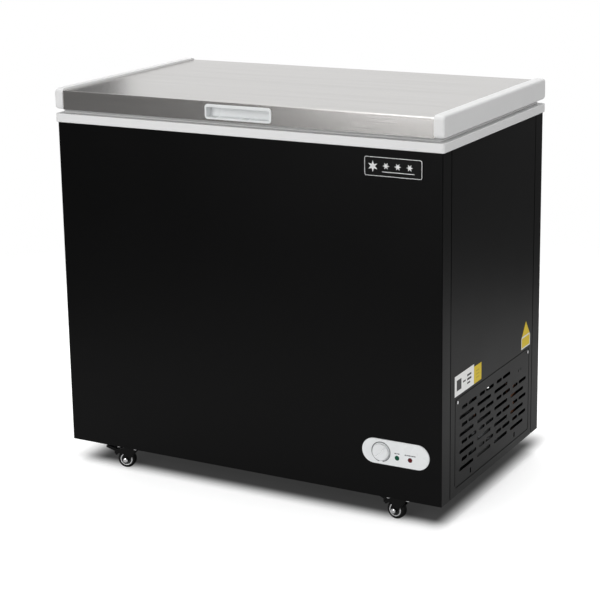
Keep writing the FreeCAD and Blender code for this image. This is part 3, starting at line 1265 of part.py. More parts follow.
def brake(tag, x, y, swivel):
    """A foot brake: a pedal on a pin between the fork's ears, with a shoe over the tread."""
    pin_x = "(-caster_trail - brake_offset)"
    pin_z = "(crown_top - brake_drop)"
    width = "pedal_half"
    body = doc.addObject("PartDesign::Body", f"Brake{tag}")
    face = sketch_on(body, "XZ_Plane", f"BrakeFace{tag}", f"-{width}")
    polygon(face, [(f"{pin_x} - 3", f"{pin_z} - 8"), (f"{pin_x} + 1", f"{pin_z} - 8"),
                   (f"{pin_x} + 4", f"{pin_z} - 2"), (f"{pin_x} + 4", f"{pin_z} + 2"),
                   (f"{pin_x} + 2", f"{pin_z} + 6"), ("-brake_reach", f"{pin_z} + brake_rise"),
                   ("-brake_reach", f"{pin_z} + brake_rise - 3.5"), (f"{pin_x} - 4", f"{pin_z} + 1")])
    pad(body, face, f"{width} * 2")
    pin = rod(f"BrakePin{tag}", ALONG_Y, (pin_x, "-fork_outer", pin_z), "fork_outer * 2", "brake_pin")
    node(f"caster_brake_{tag}", placed(joined(f"BrakeJoined{tag}", body, pin), x, y, swivel))


def casters():
    """The four casters; the front pair have foot brakes."""
    caster_plates()
    caster_bolts()
    for tag, x, y, swivel in caster_places():
        braked = tag.startswith("f")
        fork(tag, x, y, swivel, braked)
        wheel(tag, x, y, swivel)
        if braked:
            brake(tag, x, y, swivel)


# ---------------------------------------------------------------- the whole freezer

front_panel()
rear_panel()
node("left_side_panel", side_panel("LeftSidePanel", "-"))
right_side_panel()
vent_grille()
panel_screws()
base_plate()
node("rail_left", without("RailLeftDrilled", rail("RailLeft", "caster_x_left"),
                          *bolt_holes("RailLeftHole", ("base_top - 1", "base_top + 5"))))
node("rail_right", rail("RailRight", "caster_x_right"))
bay_partition()
compressor_tray()
compressor()
bay_fittings()
bay_pipes()
evaporator()
condenser()
liner_and_foam()
top_collar()
control_bezel()
thermostat()
lamp("GreenLamp", "green_lamp", "lamp_x")
lamp("RedLamp", "red_lamp", "lamp_x + lamp_pitch")
knob()
badge()
labels()
cord_gland()
drain()
hinge("Left", "-hinge_spacing / 2")
hinge("Right", "hinge_spacing / 2")
hinge_pins_and_springs()
lid_skin()
lid_cap("lid_cap_left", "LidCapLeft", -1)
lid_cap("lid_cap_right", "LidCapRight", 1)
lid_inside()
lid_handle()
basket()
casters()
doc.recompute()

failed = [item.Name for item in doc.Objects if "Invalid" in item.State or "Error" in item.State]
for label, piece in NODES.items():
    if piece.Shape.isNull() or not piece.Shape.isValid() or not piece.Shape.Solids:
        failed.append(label)
if failed:
    raise SystemExit("these did not build: " + ", ".join(failed))

os.makedirs("parts", exist_ok=True)
for label, piece in NODES.items():
    piece.Shape.exportStep(f"parts/{label}.step")
box = Part.makeCompound([piece.Shape for piece in NODES.values()]).BoundBox
print(f"{len(NODES)} nodes, {box.XLength:.1f} x {box.YLength:.1f} x {box.ZLength:.1f} mm")
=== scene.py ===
"""Chest freezer on swivel casters: finishes, detail pieces, floor, lights and camera.

Metres.  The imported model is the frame, and the pieces made here are laid out from its boxes.
"""
import json
import math
import bmesh
import bpy
from mathutils import Matrix, Vector


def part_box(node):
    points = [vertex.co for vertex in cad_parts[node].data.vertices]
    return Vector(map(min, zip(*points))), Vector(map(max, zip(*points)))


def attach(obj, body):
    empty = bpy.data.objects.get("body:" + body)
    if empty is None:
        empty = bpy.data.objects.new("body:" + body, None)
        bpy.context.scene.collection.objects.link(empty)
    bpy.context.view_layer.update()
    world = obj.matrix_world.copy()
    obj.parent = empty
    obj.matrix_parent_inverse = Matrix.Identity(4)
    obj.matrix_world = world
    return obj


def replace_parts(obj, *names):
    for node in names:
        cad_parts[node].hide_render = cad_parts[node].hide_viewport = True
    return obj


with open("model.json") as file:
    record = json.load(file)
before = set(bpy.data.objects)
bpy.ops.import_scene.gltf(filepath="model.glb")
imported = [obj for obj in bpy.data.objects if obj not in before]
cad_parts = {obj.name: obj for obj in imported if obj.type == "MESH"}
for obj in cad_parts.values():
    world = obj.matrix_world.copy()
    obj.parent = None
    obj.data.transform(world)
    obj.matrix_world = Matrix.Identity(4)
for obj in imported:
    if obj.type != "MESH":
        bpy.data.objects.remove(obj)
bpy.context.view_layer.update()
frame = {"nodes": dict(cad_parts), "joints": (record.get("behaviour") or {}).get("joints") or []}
NODES = frame["nodes"]
JOINTS = {joint["name"]: joint for joint in frame["joints"]}
MM = 0.001


# ---------------------------------------------------------------- shader arithmetic

class Amount:
    """A shader socket that is used in plain arithmetic."""

    def __init__(self, finish, socket):
        self.finish = finish
        self.socket = socket

    def math(self, operation, *values, clamp=False):
        return self.finish.node("ShaderNodeMath", {"operation": operation, "use_clamp": clamp},
                                dict(enumerate(values)))

    def __add__(self, other):
        return self.math("ADD", self, other)

    def __radd__(self, other):
        return self.math("ADD", other, self)

    def __sub__(self, other):
        return self.math("SUBTRACT", self, other)

    def __rsub__(self, other):
        return self.math("SUBTRACT", other, self)

    def __mul__(self, other):
        return self.math("MULTIPLY", self, other)

    def __rmul__(self, other):
        return self.math("MULTIPLY", other, self)

    def above(self, level):
        return self.math("GREATER_THAN", self, level)

    def below(self, level):
        return self.math("LESS_THAN", self, level)

    def most(self, other):
        return self.math("MAXIMUM", self, other)

    def between(self, low, high):
        return self.above(low) * self.below(high)


class Finish:
    """One procedural finish: a Principled shader and the pattern nodes that feed it."""

    def __init__(self, name, colour, roughness, metallic=0.0, **constants):
        self.material = bpy.data.materials.new(name)
        self.material.use_nodes = True
        self.material.diffuse_color = (*colour, 1)
        self.tree = self.material.node_tree
        self.shader = self.tree.nodes["Principled BSDF"]
        self.colour = (*colour, 1)
        self.set("Base Color", self.colour)
        self.set("Roughness", roughness)
        self.set("Metallic", metallic)
        for socket, number in constants.items():
            self.set(socket.replace("_", " "), number)
        self.place = self.node("ShaderNodeTexCoord", {}, {}, "Object")

    def set(self, socket, content):
        self.put(self.shader.inputs[socket], content)

    def put(self, socket, content):
        if isinstance(content, Amount):
            self.tree.links.new(content.socket, socket)
        else:
            socket.default_value = content

    def node(self, kind, settings, values, output=0):
        """Add a node: its settings first, then the values or links of its sockets."""
        made = self.tree.nodes.new(kind)
        for key, content in settings.items():
            if key == "stops":
                ramp = made.color_ramp
                while len(ramp.elements) < len(content):
                    ramp.elements.new(0.5)
                for stop, (position, colour) in zip(ramp.elements, content):
                    stop.position = position
                    stop.color = colour
            else:
                setattr(made, key, content)
        for key, content in values.items():
            self.put(made.inputs[key], content)
        return Amount(self, made.outputs[output])

    def stretched(self, scale):
        """The place on the piece, scaled along each axis."""
        return self.node("ShaderNodeMapping", {}, {"Vector": self.place, "Scale": scale})

    def noise(self, scale, detail=2.0, where=None, roughness=0.5):
        return self.node("ShaderNodeTexNoise", {}, {"Vector": where or self.place, "Scale": scale,
                                                    "Detail": detail, "Roughness": roughness})

    def cells(self, scale, feature="F1", where=None):
        return self.node("ShaderNodeTexVoronoi", {"feature": feature},
                         {"Vector": where or self.place, "Scale": scale})

    def axis(self, letter, where=None):
        """One coordinate of the place on the piece."""
        return self.node("ShaderNodeSeparateXYZ", {}, {"Vector": where or self.place}, letter)

    def mixed(self, share, first, second):
        """A colour between two, by a share from 0 to 1."""
        return self.node("ShaderNodeMix", {"data_type": "RGBA"},
                         {"Factor": share, 6: first, 7: second}, 2)

    def shaded(self, share, depth):
        """The finish's colour, darker by up to depth where the share is 1."""
        dark = tuple(channel * (1 - depth) for channel in self.colour[:3])
        return self.mixed(share, self.colour, (*dark, 1))

    def bump(self, height, distance, strength=1.0):
        self.set("Normal", self.node("ShaderNodeBump", {}, {"Height": height, "Distance": distance,
                                                            "Strength": strength}))


# ---------------------------------------------------------------- finishes

def painted(name, colour, roughness, level=0.5, peel=0.00004):
    """Sprayed or powder coated steel: orange peel and a faint, uneven sheen."""
    finish = Finish(name, colour, roughness, Specular_IOR_Level=level)
    cloud = finish.noise(5, 3)
    finish.set("Roughness", cloud * 0.10 + (roughness - 0.05))
    finish.set("Base Color", finish.shaded(cloud, 0.25))
    finish.bump(finish.noise(700, 2), peel, 0.5)
    return finish


def moulded(name, colour, roughness, grain=900, depth=0.00002, level=0.5, **constants):
    """Moulded plastic: a fine spark-eroded grain and a slight cloud in the colour."""
    finish = Finish(name, colour, roughness, Specular_IOR_Level=level, **constants)
    cloud = finish.noise(14, 3)
    finish.set("Base Color", finish.shaded(cloud, 0.06))
    finish.set("Roughness", cloud * 0.12 + (roughness - 0.06))
    finish.bump(finish.noise(grain, 3), depth, 0.5)
    return finish


def plated(name, colour, roughness, blotch=60):
    """Zinc or nickel plating: small blotches in the gloss."""
    finish = Finish(name, colour, roughness, 1.0)
    cloud = finish.noise(blotch, 4)
    finish.set("Base Color", finish.shaded(cloud, 0.3))
    finish.set("Roughness", cloud * 0.25 + (roughness - 0.1))
    finish.bump(finish.noise(blotch * 12, 2), 0.00002, 0.4)
    return finish


def drawn_tube(name, colour, roughness):
    """Drawn metal tube: fine lines and a dull cloud."""
    finish = Finish(name, colour, roughness, 1.0)
    cloud = finish.noise(35, 4)
    finish.set("Base Color", finish.shaded(cloud, 0.35))
    finish.set("Roughness", cloud * 0.3 + (roughness - 0.1))
    finish.bump(finish.noise(500, 2), 0.00002, 0.4)
    return finish


def rubber(name, colour, roughness, level=0.35):
    finish = Finish(name, colour, roughness, Specular_IOR_Level=level)
    cloud = finish.noise(40, 4)
    finish.set("Base Color", finish.mixed(cloud, finish.colour, (*[c * 1.8 for c in colour], 1)))
    finish.set("Roughness", cloud * 0.2 + (roughness - 0.1))
    finish.bump(finish.noise(1400, 3), 0.00004, 0.6)
    return finish


def brushed_steel():
    """Brushed stainless sheet: fine lines along the length."""
    finish = Finish("BrushedSteel", (0.60, 0.585, 0.57), 0.2, 1.0)
    fine = finish.noise(1, 3, finish.stretched((5, 1100, 1100)), 0.7)
    broad = finish.noise(1, 2, finish.stretched((1.5, 60, 60)))
    finish.set("Base Color", finish.shaded(fine * 0.6 + broad * 0.4, 0.14))
    finish.set("Roughness", fine * 0.10 + broad * 0.06 + 0.12)
    finish.bump(fine, 0.00006, 0.8)
    return finish


def spangled_steel():
    """Galvanised sheet: large crystals of zinc."""
    finish = Finish("GalvanisedSteel", (0.47, 0.48, 0.50), 0.42, 1.0)
    crystal = finish.cells(90)
    tone = finish.noise(1, 1, finish.node("ShaderNodeTexVoronoi", {}, {"Vector": finish.place,
                                                                     "Scale": 90}, "Color"))
    finish.set("Base Color", finish.shaded(tone, 0.45))
    finish.set("Roughness", tone * 0.3 + 0.28)
    finish.bump(crystal, 0.00004, 0.3)
    return finish


def stucco_aluminium():
    """Embossed aluminium liner: small raised cells."""
    finish = Finish("StuccoAluminium", (0.74, 0.75, 0.76), 0.33, 1.0)
    cell = finish.cells(170, "SMOOTH_F1")
    cloud = finish.noise(9, 3)
    finish.set("Base Color", finish.shaded(cloud, 0.12))
    finish.set("Roughness", cloud * 0.15 + 0.25)
    finish.bump(cell, 0.0012, 0.5)
    return finish


def foam_finish():
    finish = Finish("WallFoam", (0.78, 0.66, 0.40), 0.9, Specular_IOR_Level=0.2)
    cell = finish.cells(350)
    finish.set("Base Color", finish.shaded(cell, 0.3))
    finish.bump(cell, 0.0006, 0.5)
    return finish


def lens(name, colour):
    """A tinted lamp lens with fine rings moulded into it."""
    finish = Finish(name, colour, 0.3, Specular_IOR_Level=0.15)
    grain = finish.noise(700, 2)
    finish.set("Base Color", finish.shaded(grain, 0.3))
    finish.bump(grain, 0.00005, 0.4)
    return finish


def label_finish(name, colour, dark, node, marks):
    """A printed label on the right side: a pale edge, and plain marks by place in its box.

    marks are (y from, y to, z from, z to) shares of the box."""
    finish = Finish(name, colour, 0.42, Specular_IOR_Level=0.15)
    low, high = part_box(node)
    across = (finish.axis("Y") - low.y) * (1 / (high.y - low.y))
    up = (finish.axis("Z") - low.z) * (1 / (high.z - low.z))
    ink = None
    for y_from, y_to, z_from, z_to in marks:
        mark = across.between(y_from, y_to) * up.between(z_from, z_to)
        ink = mark if ink is None else ink.most(mark)
    speck = finish.noise(800, 2)
    paper = finish.shaded(speck, 0.06)
    finish.set("Base Color", finish.mixed(ink, paper, (*dark, 1)) if ink else paper)
    finish.set("Roughness", speck * 0.15 + 0.3)
    finish.bump(speck, 0.00002, 0.3)
    return finish


black_paint = painted("BlackPaint", (0.0022, 0.0022, 0.0023), 0.33, 0.085)
black_enamel = painted("BlackEnamel", (0.005, 0.005, 0.005), 0.3, 0.2, 0.00008)
caster_paint = painted("CasterPaint", (0.003, 0.003, 0.003), 0.32, 0.12, 0.00005)
white_plastic = moulded("WhitePlastic", (0.80, 0.80, 0.80), 0.42)
white_gloss = moulded("WhiteGloss", (0.80, 0.815, 0.82), 0.28, 500, 0.00001)
knob_plastic = moulded("KnobPlastic", (0.78, 0.79, 0.80), 0.24, 500, 0.00001)
black_plastic = moulded("BlackPlastic", (0.012, 0.012, 0.013), 0.45)
badge_black = moulded("BadgeBlack", (0.003, 0.003, 0.003), 0.25, 400, 0.00001, 0.15)
grey_seal = moulded("GreySeal", (0.56, 0.56, 0.56), 0.6, 900, 0.00003, 0.35)
# Grey for the printed lamp marks, and for the dark ring of painted shade round the knob.
print_and_painted_shade_grey = moulded("PrintAndPaintedShadeGrey", (0.12, 0.125, 0.13), 0.5, 600, 0.00001)
zinc = plated("ZincPlate", (0.72, 0.72, 0.73), 0.25)
wheel_zinc = plated("WheelZinc", (0.80, 0.80, 0.81), 0.22, 40)
silver_edge = plated("SilverEdge", (0.80, 0.80, 0.80), 0.3, 90)
hinge_steel = plated("HingeSteel", (0.50, 0.50, 0.51), 0.38)
spring_steel = drawn_tube("SpringSteel", (0.35, 0.35, 0.36), 0.35)
copper = drawn_tube("CopperTube", (0.50, 0.22, 0.12), 0.35)
aluminium = drawn_tube("AluminiumTube", (0.74, 0.75, 0.76), 0.35)
tyre_rubber = rubber("TyreRubber", (0.004, 0.004, 0.004), 0.5, 0.12)
mount_rubber = rubber("MountRubber", (0.016, 0.016, 0.016), 0.6)
steel_skin = brushed_steel()
galvanised = spangled_steel()
stucco = stucco_aluminium()
foam = foam_finish()
green_lens = lens("GreenLens", (0.004, 0.085, 0.045))
red_lens = lens("RedLens", (0.105, 0.004, 0.008))
rating_print = label_finish("RatingPrint", (0.90, 0.90, 0.89), (0.03, 0.03, 0.03), "rating_label", [
    (0.10, 0.34, 0.24, 0.76), (0.42, 0.56, 0.46, 0.54), (0.64, 0.86, 0.62, 0.72),
    (0.64, 0.86, 0.42, 0.52), (0.64, 0.80, 0.24, 0.32)])
class_print = label_finish("ClassPrint", (0.72, 0.53, 0.008), (0.50, 0.36, 0.01), "class_label", [
    (0.30, 0.70, 0.25, 0.32), (0.30, 0.70, 0.45, 0.52), (0.30, 0.70, 0.65, 0.72)])
caution_print = label_finish("CautionPrint", (0.72, 0.52, 0.01), (0.70, 0.70, 0.66), "caution_label", [
    (0.0, 0.06, 0, 1), (0.94, 1.0, 0, 1), (0, 1, 0.42, 0.48), (0, 1, 0, 0.05)])

FINISH_OF_SLOT = {
    "black_steel": black_paint, "zinc_steel": zinc, "galvanised_steel": galvanised,
    "black_enamel": black_enamel, "black_rubber": mount_rubber, "black_plastic": black_plastic,
    "copper_tube": copper, "bare_aluminium": aluminium, "foam": foam, "liner_aluminium": stucco,
    "white_plastic": white_plastic, "white_gloss": white_gloss, "knob_plastic": knob_plastic,
    "green_lens": green_lens, "red_lens": red_lens, "badge_black": badge_black,
    "white_label": rating_print, "yellow_label": caution_print, "hinge_steel": hinge_steel,
    "spring_steel": spring_steel, "brushed_steel": steel_skin, "grey_seal": grey_seal,
    "caster_steel": caster_paint, "wheel_rubber": tyre_rubber,
}
for name, piece in NODES.items():
    for place, slot in enumerate(piece.material_slots):
        slot_name = slot.material.name.split(".")[0]
        slot.material = FINISH_OF_SLOT[slot_name].material
NODES["class_label"].material_slots[0].material = class_print.material


# ---------------------------------------------------------------- modelling

def nothing_selected():
    if bpy.context.object and bpy.context.object.mode != "OBJECT":
        bpy.ops.object.mode_set(mode="OBJECT")
    bpy.ops.object.select_all(action="DESELECT")


def begun(name):
    """The primitive that was just added, with its place applied to its mesh."""
    piece = bpy.context.active_object
    piece.name = piece.data.name = name
    bpy.ops.object.transform_apply(location=True, rotation=True, scale=True)
    return piece


def slab(name, low, high):
    """A box between two corners, as a start."""
    nothing_selected()
    low, high = Vector(low), Vector(high)
    bpy.ops.mesh.primitive_cube_add(size=1, location=(low + high) / 2)
    bpy.context.active_object.scale = high - low
    return begun(name)


def drum(name, centre, radius, length, axis, corners=48):
    """A cylinder about a middle point and an axis, as a start."""
    nothing_selected()
    bpy.ops.mesh.primitive_cylinder_add(vertices=corners, radius=radius, depth=length, location=centre)
    bpy.context.active_object.rotation_euler = Vector(axis).to_track_quat("Z", "Y").to_euler()
    return begun(name)


def disc(name, centre, radius, axis, corners=48):
    nothing_selected()
    bpy.ops.mesh.primitive_circle_add(vertices=corners, radius=radius, fill_type="NGON", location=centre)
    bpy.context.active_object.rotation_euler = Vector(axis).to_track_quat("Z", "Y").to_euler()
    return begun(name)


def edit(piece):
    nothing_selected()
    bpy.context.view_layer.objects.active = piece
    piece.select_set(True)
    bpy.ops.object.mode_set(mode="EDIT")
    bpy.ops.mesh.select_all(action="DESELECT")


def choose(piece, kind, test):
    """In edit mode, select the vertices, edges or faces that pass a test."""
    bpy.ops.mesh.select_mode(type=kind)
    bpy.ops.mesh.select_all(action="DESELECT")
    shape = bmesh.from_edit_mesh(piece.data)
    parts = {"VERT": shape.verts, "EDGE": shape.edges, "FACE": shape.faces}[kind]
    for part in [part for part in parts if test(part)]:
        part.select_set(True)
    shape.select_flush_mode()
    bmesh.update_edit_mesh(piece.data)


def middle_of(part):
    if isinstance(part, bmesh.types.BMVert):
        return part.co
    return sum((corner.co for corner in part.verts), Vector()) / len(part.verts)


def facing(direction, least=0.9):
    direction = Vector(direction).normalized()
    return lambda face: face.normal.dot(direction) > least


def along(direction, least=0.98):
    """Edges that run in a direction."""
    direction = Vector(direction).normalized()

    def test(edge):
        run = edge.verts[1].co - edge.verts[0].co
        return abs(run.normalized().dot(direction)) > least
    return test


def finished(piece, finish, body, smooth=35):
    """Shade, paint and hang a piece on its body."""
    nothing_selected()
    bpy.context.view_layer.objects.active = piece
    piece.select_set(True)
    bpy.ops.object.shade_smooth_by_angle(angle=math.radians(smooth))
    piece.data.materials.clear()
    piece.data.materials.append(finish.material)
    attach(piece, body)
    return piece


def plate_on_front(name, low, high, corner, edge):
    """A plate in the front's plane with rounded corners and a softened front edge."""
    piece = slab(name, low, high)
    edit(piece)
    choose(piece, "EDGE", along((0, 1, 0)))
    bpy.ops.mesh.bevel(offset=corner, segments=8, affect="EDGES")
    if edge:
        choose(piece, "FACE", facing((0, -1, 0)))
        bpy.ops.mesh.region_to_loop()
        bpy.ops.mesh.bevel(offset=edge, segments=3, affect="EDGES")
    bpy.ops.object.mode_set(mode="OBJECT")
    return piece


# ---------------------------------------------------------------- control panel

def thermostat_knob():
    """A round knob with a raised ridge across its face for the fingers."""
    low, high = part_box("thermostat_knob")
    centre = (low + high) / 2
    radius = (high.x - low.x) / 2
    face = low.y + 2.2 * MM
    piece = drum("KnobBody", (centre.x, (face + high.y) / 2, centre.z), radius, high.y - face,
                 (0, -1, 0), 72)
    edit(piece)
    choose(piece, "FACE", facing((0, -1, 0)))
    bpy.ops.mesh.inset(thickness=1.2 * MM)
    bpy.ops.transform.translate(value=(0, -0.9 * MM, 0))
    bpy.ops.mesh.inset(thickness=2.2 * MM)
    bpy.ops.transform.translate(value=(0, 0.5 * MM, 0))
    choose(piece, "FACE", lambda part: facing((0, -1, 0))(part) and part.calc_area() > radius ** 2)
    bpy.ops.mesh.bisect(plane_co=centre, plane_no=(1, 0, -1), use_fill=False)
    choose(piece, "EDGE", lambda part: len(part.link_faces) == 2 and all(
        facing((0, -1, 0))(face) for face in part.link_faces)
        and abs((part.verts[0].co - part.verts[1].co).length) > radius)
    bpy.ops.mesh.bevel(offset=2.6 * MM, segments=2, affect="EDGES")
    choose(piece, "EDGE", lambda part: abs((part.verts[0].co - part.verts[1].co).length) > radius
           and abs((middle_of(part) - centre).dot(Vector((1, 0, -1)).normalized())) < 0.4 * MM)
    bpy.ops.transform.translate(value=(0, -1.6 * MM, 0))
    bpy.ops.object.mode_set(mode="OBJECT")
    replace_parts(finished(piece, knob_plastic, "knob", 40), "thermostat_knob")


def knob_gap_shade_ring():
    """A dark ring on the plate round the knob, open at the bottom: painted shade standing in for the gap
    round the knob.
    """
    bezel_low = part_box("control_bezel")[0]
    low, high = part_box("thermostat_knob")
    centre = (low + high) / 2
    radius = (high.x - low.x) / 2
    front = bezel_low.y + 0.02 * MM
    # A thin dark ring just outside the knob's edge, standing in for the shade in the gap round the knob.
    piece = disc("KnobGapShadeRing", (centre.x, front, centre.z), radius + 3.9 * MM, (0, -1, 0), 96)
    edit(piece)
    choose(piece, "FACE", lambda part: True)
    bpy.ops.mesh.inset(thickness=1.8 * MM)
    bpy.ops.mesh.delete(type="FACE")
    choose(piece, "FACE", lambda part: (middle_of(part) - centre).z < -0.985 * (radius + 3 * MM))
    bpy.ops.mesh.delete(type="FACE")
    choose(piece, "FACE", lambda part: True)
    bpy.ops.mesh.extrude_region_move(TRANSFORM_OT_translate={"value": (0, -0.15 * MM, 0)})
    choose(piece, "FACE", lambda part: True)
    bpy.ops.mesh.normals_make_consistent(inside=False)
    bpy.ops.object.mode_set(mode="OBJECT")
    finished(piece, print_and_painted_shade_grey, "cabinet")


def dial_marks():
    """Short printed strokes over the lamps, as plain marks with no words."""
    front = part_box("control_bezel")[0].y
    strokes = []
    for lamp, widths in (("green_lamp", (3.8, 2.2, 3.2)),
                         ("red_lamp", (4.0, 2.4, 4.2, 2.2, 3.8, 3.0))):
        low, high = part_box(lamp)
        total = sum(widths) + 0.9 * (len(widths) - 1)
        at = (low.x + high.x) / 2 - total / 2 * MM
        for width in widths:
            strokes.append(slab("Stroke", (at, front - 0.15 * MM, high.z + 3.4 * MM),
                                (at + width * MM, front + 0.1 * MM, high.z + 5.6 * MM)))
            at += (width + 0.9) * MM
    nothing_selected()
    for stroke in strokes:
        stroke.select_set(True)
    bpy.context.view_layer.objects.active = strokes[0]
    bpy.ops.object.join()
    strokes[0].name = "LampMarks"
    finished(strokes[0], print_and_painted_shade_grey, "cabinet")


def lamp(node, name, finish, slot):
    """A domed lens over its lamp."""
    low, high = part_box(node)
    centre = (low + high) / 2
    radius = (high.x - low.x) / 2
    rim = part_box("control_bezel")[0].y
    piece = drum(name, (centre.x, rim + 1.0 * MM, centre.z), radius, 2.4 * MM, (0, -1, 0), 40)
    edit(piece)
    choose(piece, "FACE", facing((0, -1, 0)))
    for inset, rise in ((0.5, 0.35), (0.9, 0.3), (1.2, 0.15)):
        bpy.ops.mesh.inset(thickness=inset * MM)
        bpy.ops.transform.translate(value=(0, -rise * MM, 0))
    bpy.ops.object.mode_set(mode="OBJECT")
    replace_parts(finished(piece, finish, "cabinet", 50), node)


# ---------------------------------------------------------------- badge

def badge_edge():
    """The bright line round the badge."""
    low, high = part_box("badge")
    piece = plate_on_front("BadgeEdge", (low.x + 1.5 * MM, low.y - 0.25 * MM, low.z + 1.5 * MM),
                           (high.x - 1.5 * MM, low.y + 0.3 * MM, high.z - 1.5 * MM), 4.2 * MM, 0)
    edit(piece)
    choose(piece, "FACE", facing((0, -1, 0)))
    bpy.ops.mesh.inset(thickness=1.1 * MM)
    bpy.ops.mesh.delete(type="FACE")
    choose(piece, "FACE", facing((0, 1, 0)))
    bpy.ops.mesh.inset(thickness=1.1 * MM)
    bpy.ops.mesh.delete(type="FACE")
    choose(piece, "EDGE", lambda part: part.is_boundary)
    bpy.ops.mesh.bridge_edge_loops()
    choose(piece, "FACE", lambda part: True)
    bpy.ops.mesh.normals_make_consistent(inside=False)
    bpy.ops.object.mode_set(mode="OBJECT")
    finished(piece, silver_edge, "cabinet")


def star(name, centre, radius, points=6):
    """A flat raised star with a crown in its middle."""
    piece = disc(name, centre, radius, (0, -1, 0), points * 2)
    edit(piece)
    shape = bmesh.from_edit_mesh(piece.data)
    loop = sorted(shape.verts, key=lambda part: math.atan2(part.co.z - centre[2], part.co.x - centre[0]))
    waist = {part.index for part in loop[1::2]}
    choose(piece, "VERT", lambda part: part.index in waist)
    bpy.ops.transform.resize(value=(0.42, 1, 0.42), center_override=centre)
    choose(piece, "FACE", lambda part: True)
    bpy.ops.mesh.extrude_region_move(TRANSFORM_OT_translate={"value": (0, -0.35 * MM, 0)})
    bpy.ops.mesh.poke()
    bpy.ops.mesh.select_all(action="SELECT")
    bpy.ops.mesh.normals_make_consistent(inside=False)
    bpy.ops.object.mode_set(mode="OBJECT")
    return finished(piece, silver_edge, "cabinet", 20)


def badge_marks():
    """The four-star freezer mark: one large star, three small ones and a line under them."""
    low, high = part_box("badge")
    middle = (low.z + high.z) / 2
    width = high.x - low.x
    front = low.y + 0.05 * MM
    star("StarLarge", (low.x + 0.155 * width, front, middle), 11.5 * MM)
    for place, share in enumerate((0.38, 0.58, 0.78), 1):
        star(f"StarSmall_{place}", (low.x + share * width, front, middle + 2.0 * MM), 7.5 * MM)
    line = slab("BadgeLine", (low.x + 0.31 * width, low.y - 0.2 * MM, middle - 10.5 * MM),
                (low.x + 0.86 * width, low.y + 0.1 * MM, middle - 9.2 * MM))
    edit(line)
    choose(line, "EDGE", along((0, 1, 0)))
    bpy.ops.mesh.bevel(offset=0.5 * MM, segments=3, affect="EDGES")
    bpy.ops.object.mode_set(mode="OBJECT")
    finished(line, silver_edge, "cabinet")


# ---------------------------------------------------------------- casters

WORDS = {"fl": "front_left", "fr": "front_right", "rl": "rear_left", "rr": "rear_right"}


def ring_of(name, profile, middle, axis, finish, body):
    """Turn a closed profile of (radius, distance along the axle) once round an axle."""
    axis = Vector(axis).normalized()
    out = Vector((0, 0, 1))
    nothing_selected()
    bpy.ops.mesh.primitive_circle_add(vertices=len(profile), radius=1, fill_type="NOTHING")
    piece = begun(name)
    edit(piece)
    shape = bmesh.from_edit_mesh(piece.data)
    for corner, (radius, offset) in zip(list(shape.verts), profile):
        corner.co = Vector(middle) + out * radius + axis * offset
    bmesh.update_edit_mesh(piece.data)
    bpy.ops.mesh.select_all(action="SELECT")
    bpy.ops.mesh.spin(steps=56, angle=math.tau, center=middle, axis=axis)
    bpy.ops.mesh.select_all(action="SELECT")
    bpy.ops.mesh.remove_doubles(threshold=1e-6)
    bpy.ops.mesh.normals_make_consistent(inside=False)
    bpy.ops.object.mode_set(mode="OBJECT")
    return finished(piece, finish, body, 40)


def caster_wheel(tag):
    """A rubber tyre on a plated hub with a dished face, and the caps on the axle's two ends."""
    joint = JOINTS["wheel_" + WORDS[tag]]
    middle, axis = Vector(joint["pos_m"]), Vector(joint["axis"])
    radius = middle.z
    half = 9 * MM
    body = "wheel_" + tag
    hub = 14.4 * MM
    tyre = [(hub, half - 1.2 * MM), (hub, 1.2 * MM - half), (radius - 4.5 * MM, 0.3 * MM - half),
            (radius - 2.2 * MM, 0.8 * MM - half), (radius - 0.7 * MM, 2.4 * MM - half),
            (radius, 4.6 * MM - half), (radius, half - 4.6 * MM), (radius - 0.7 * MM, half - 2.4 * MM),
            (radius - 2.2 * MM, half - 0.8 * MM), (radius - 4.5 * MM, half - 0.3 * MM)]
    tread = ring_of("Tyre_" + tag, tyre, middle, axis, tyre_rubber, body)
    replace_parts(tread, "caster_wheel_" + tag)
    rim = [(11.6 * MM, half - 0.3 * MM), (hub - 0.8 * MM, half - 0.1 * MM), (hub, half - 1.0 * MM),
           (hub, 1.0 * MM - half), (hub - 0.8 * MM, 0.1 * MM - half), (11.6 * MM, 0.3 * MM - half),
           (11.0 * MM, 1.4 * MM - half), (11.0 * MM, half - 1.4 * MM)]
    ring_of("Rim_" + tag, rim, middle, axis, wheel_zinc, body)
    core = [(3.2 * MM, half - 1.8 * MM), (5.4 * MM, half - 1.8 * MM), (6.2 * MM, half - 2.6 * MM),
            (11.0 * MM, half - 3.2 * MM), (11.0 * MM, 3.2 * MM - half), (6.2 * MM, 2.6 * MM - half),
            (5.4 * MM, 1.8 * MM - half), (3.2 * MM, 1.8 * MM - half)]
    ring_of("Hub_" + tag, core, middle, axis, black_plastic, body)
    cap_place, cap_radius, cap_length = 15.6 * MM, 5.4 * MM, 1.2 * MM
    for side, way in (("near", -1), ("far", 1)):
        cap = drum(f"AxleCap_{tag}_{side}", middle + axis * way * cap_place, cap_radius, cap_length,
                   axis * way, 32)
        edit(cap)
        choose(cap, "FACE", facing(axis * way))
        for inset, rise in ((0.5, 0.6), (1.2, 0.5), (1.6, 0.2)):
            bpy.ops.mesh.inset(thickness=inset * MM)
            bpy.ops.transform.translate(value=axis * way * rise * MM)
        bpy.ops.object.mode_set(mode="OBJECT")
        finished(cap, wheel_zinc, "caster_" + tag, 50)


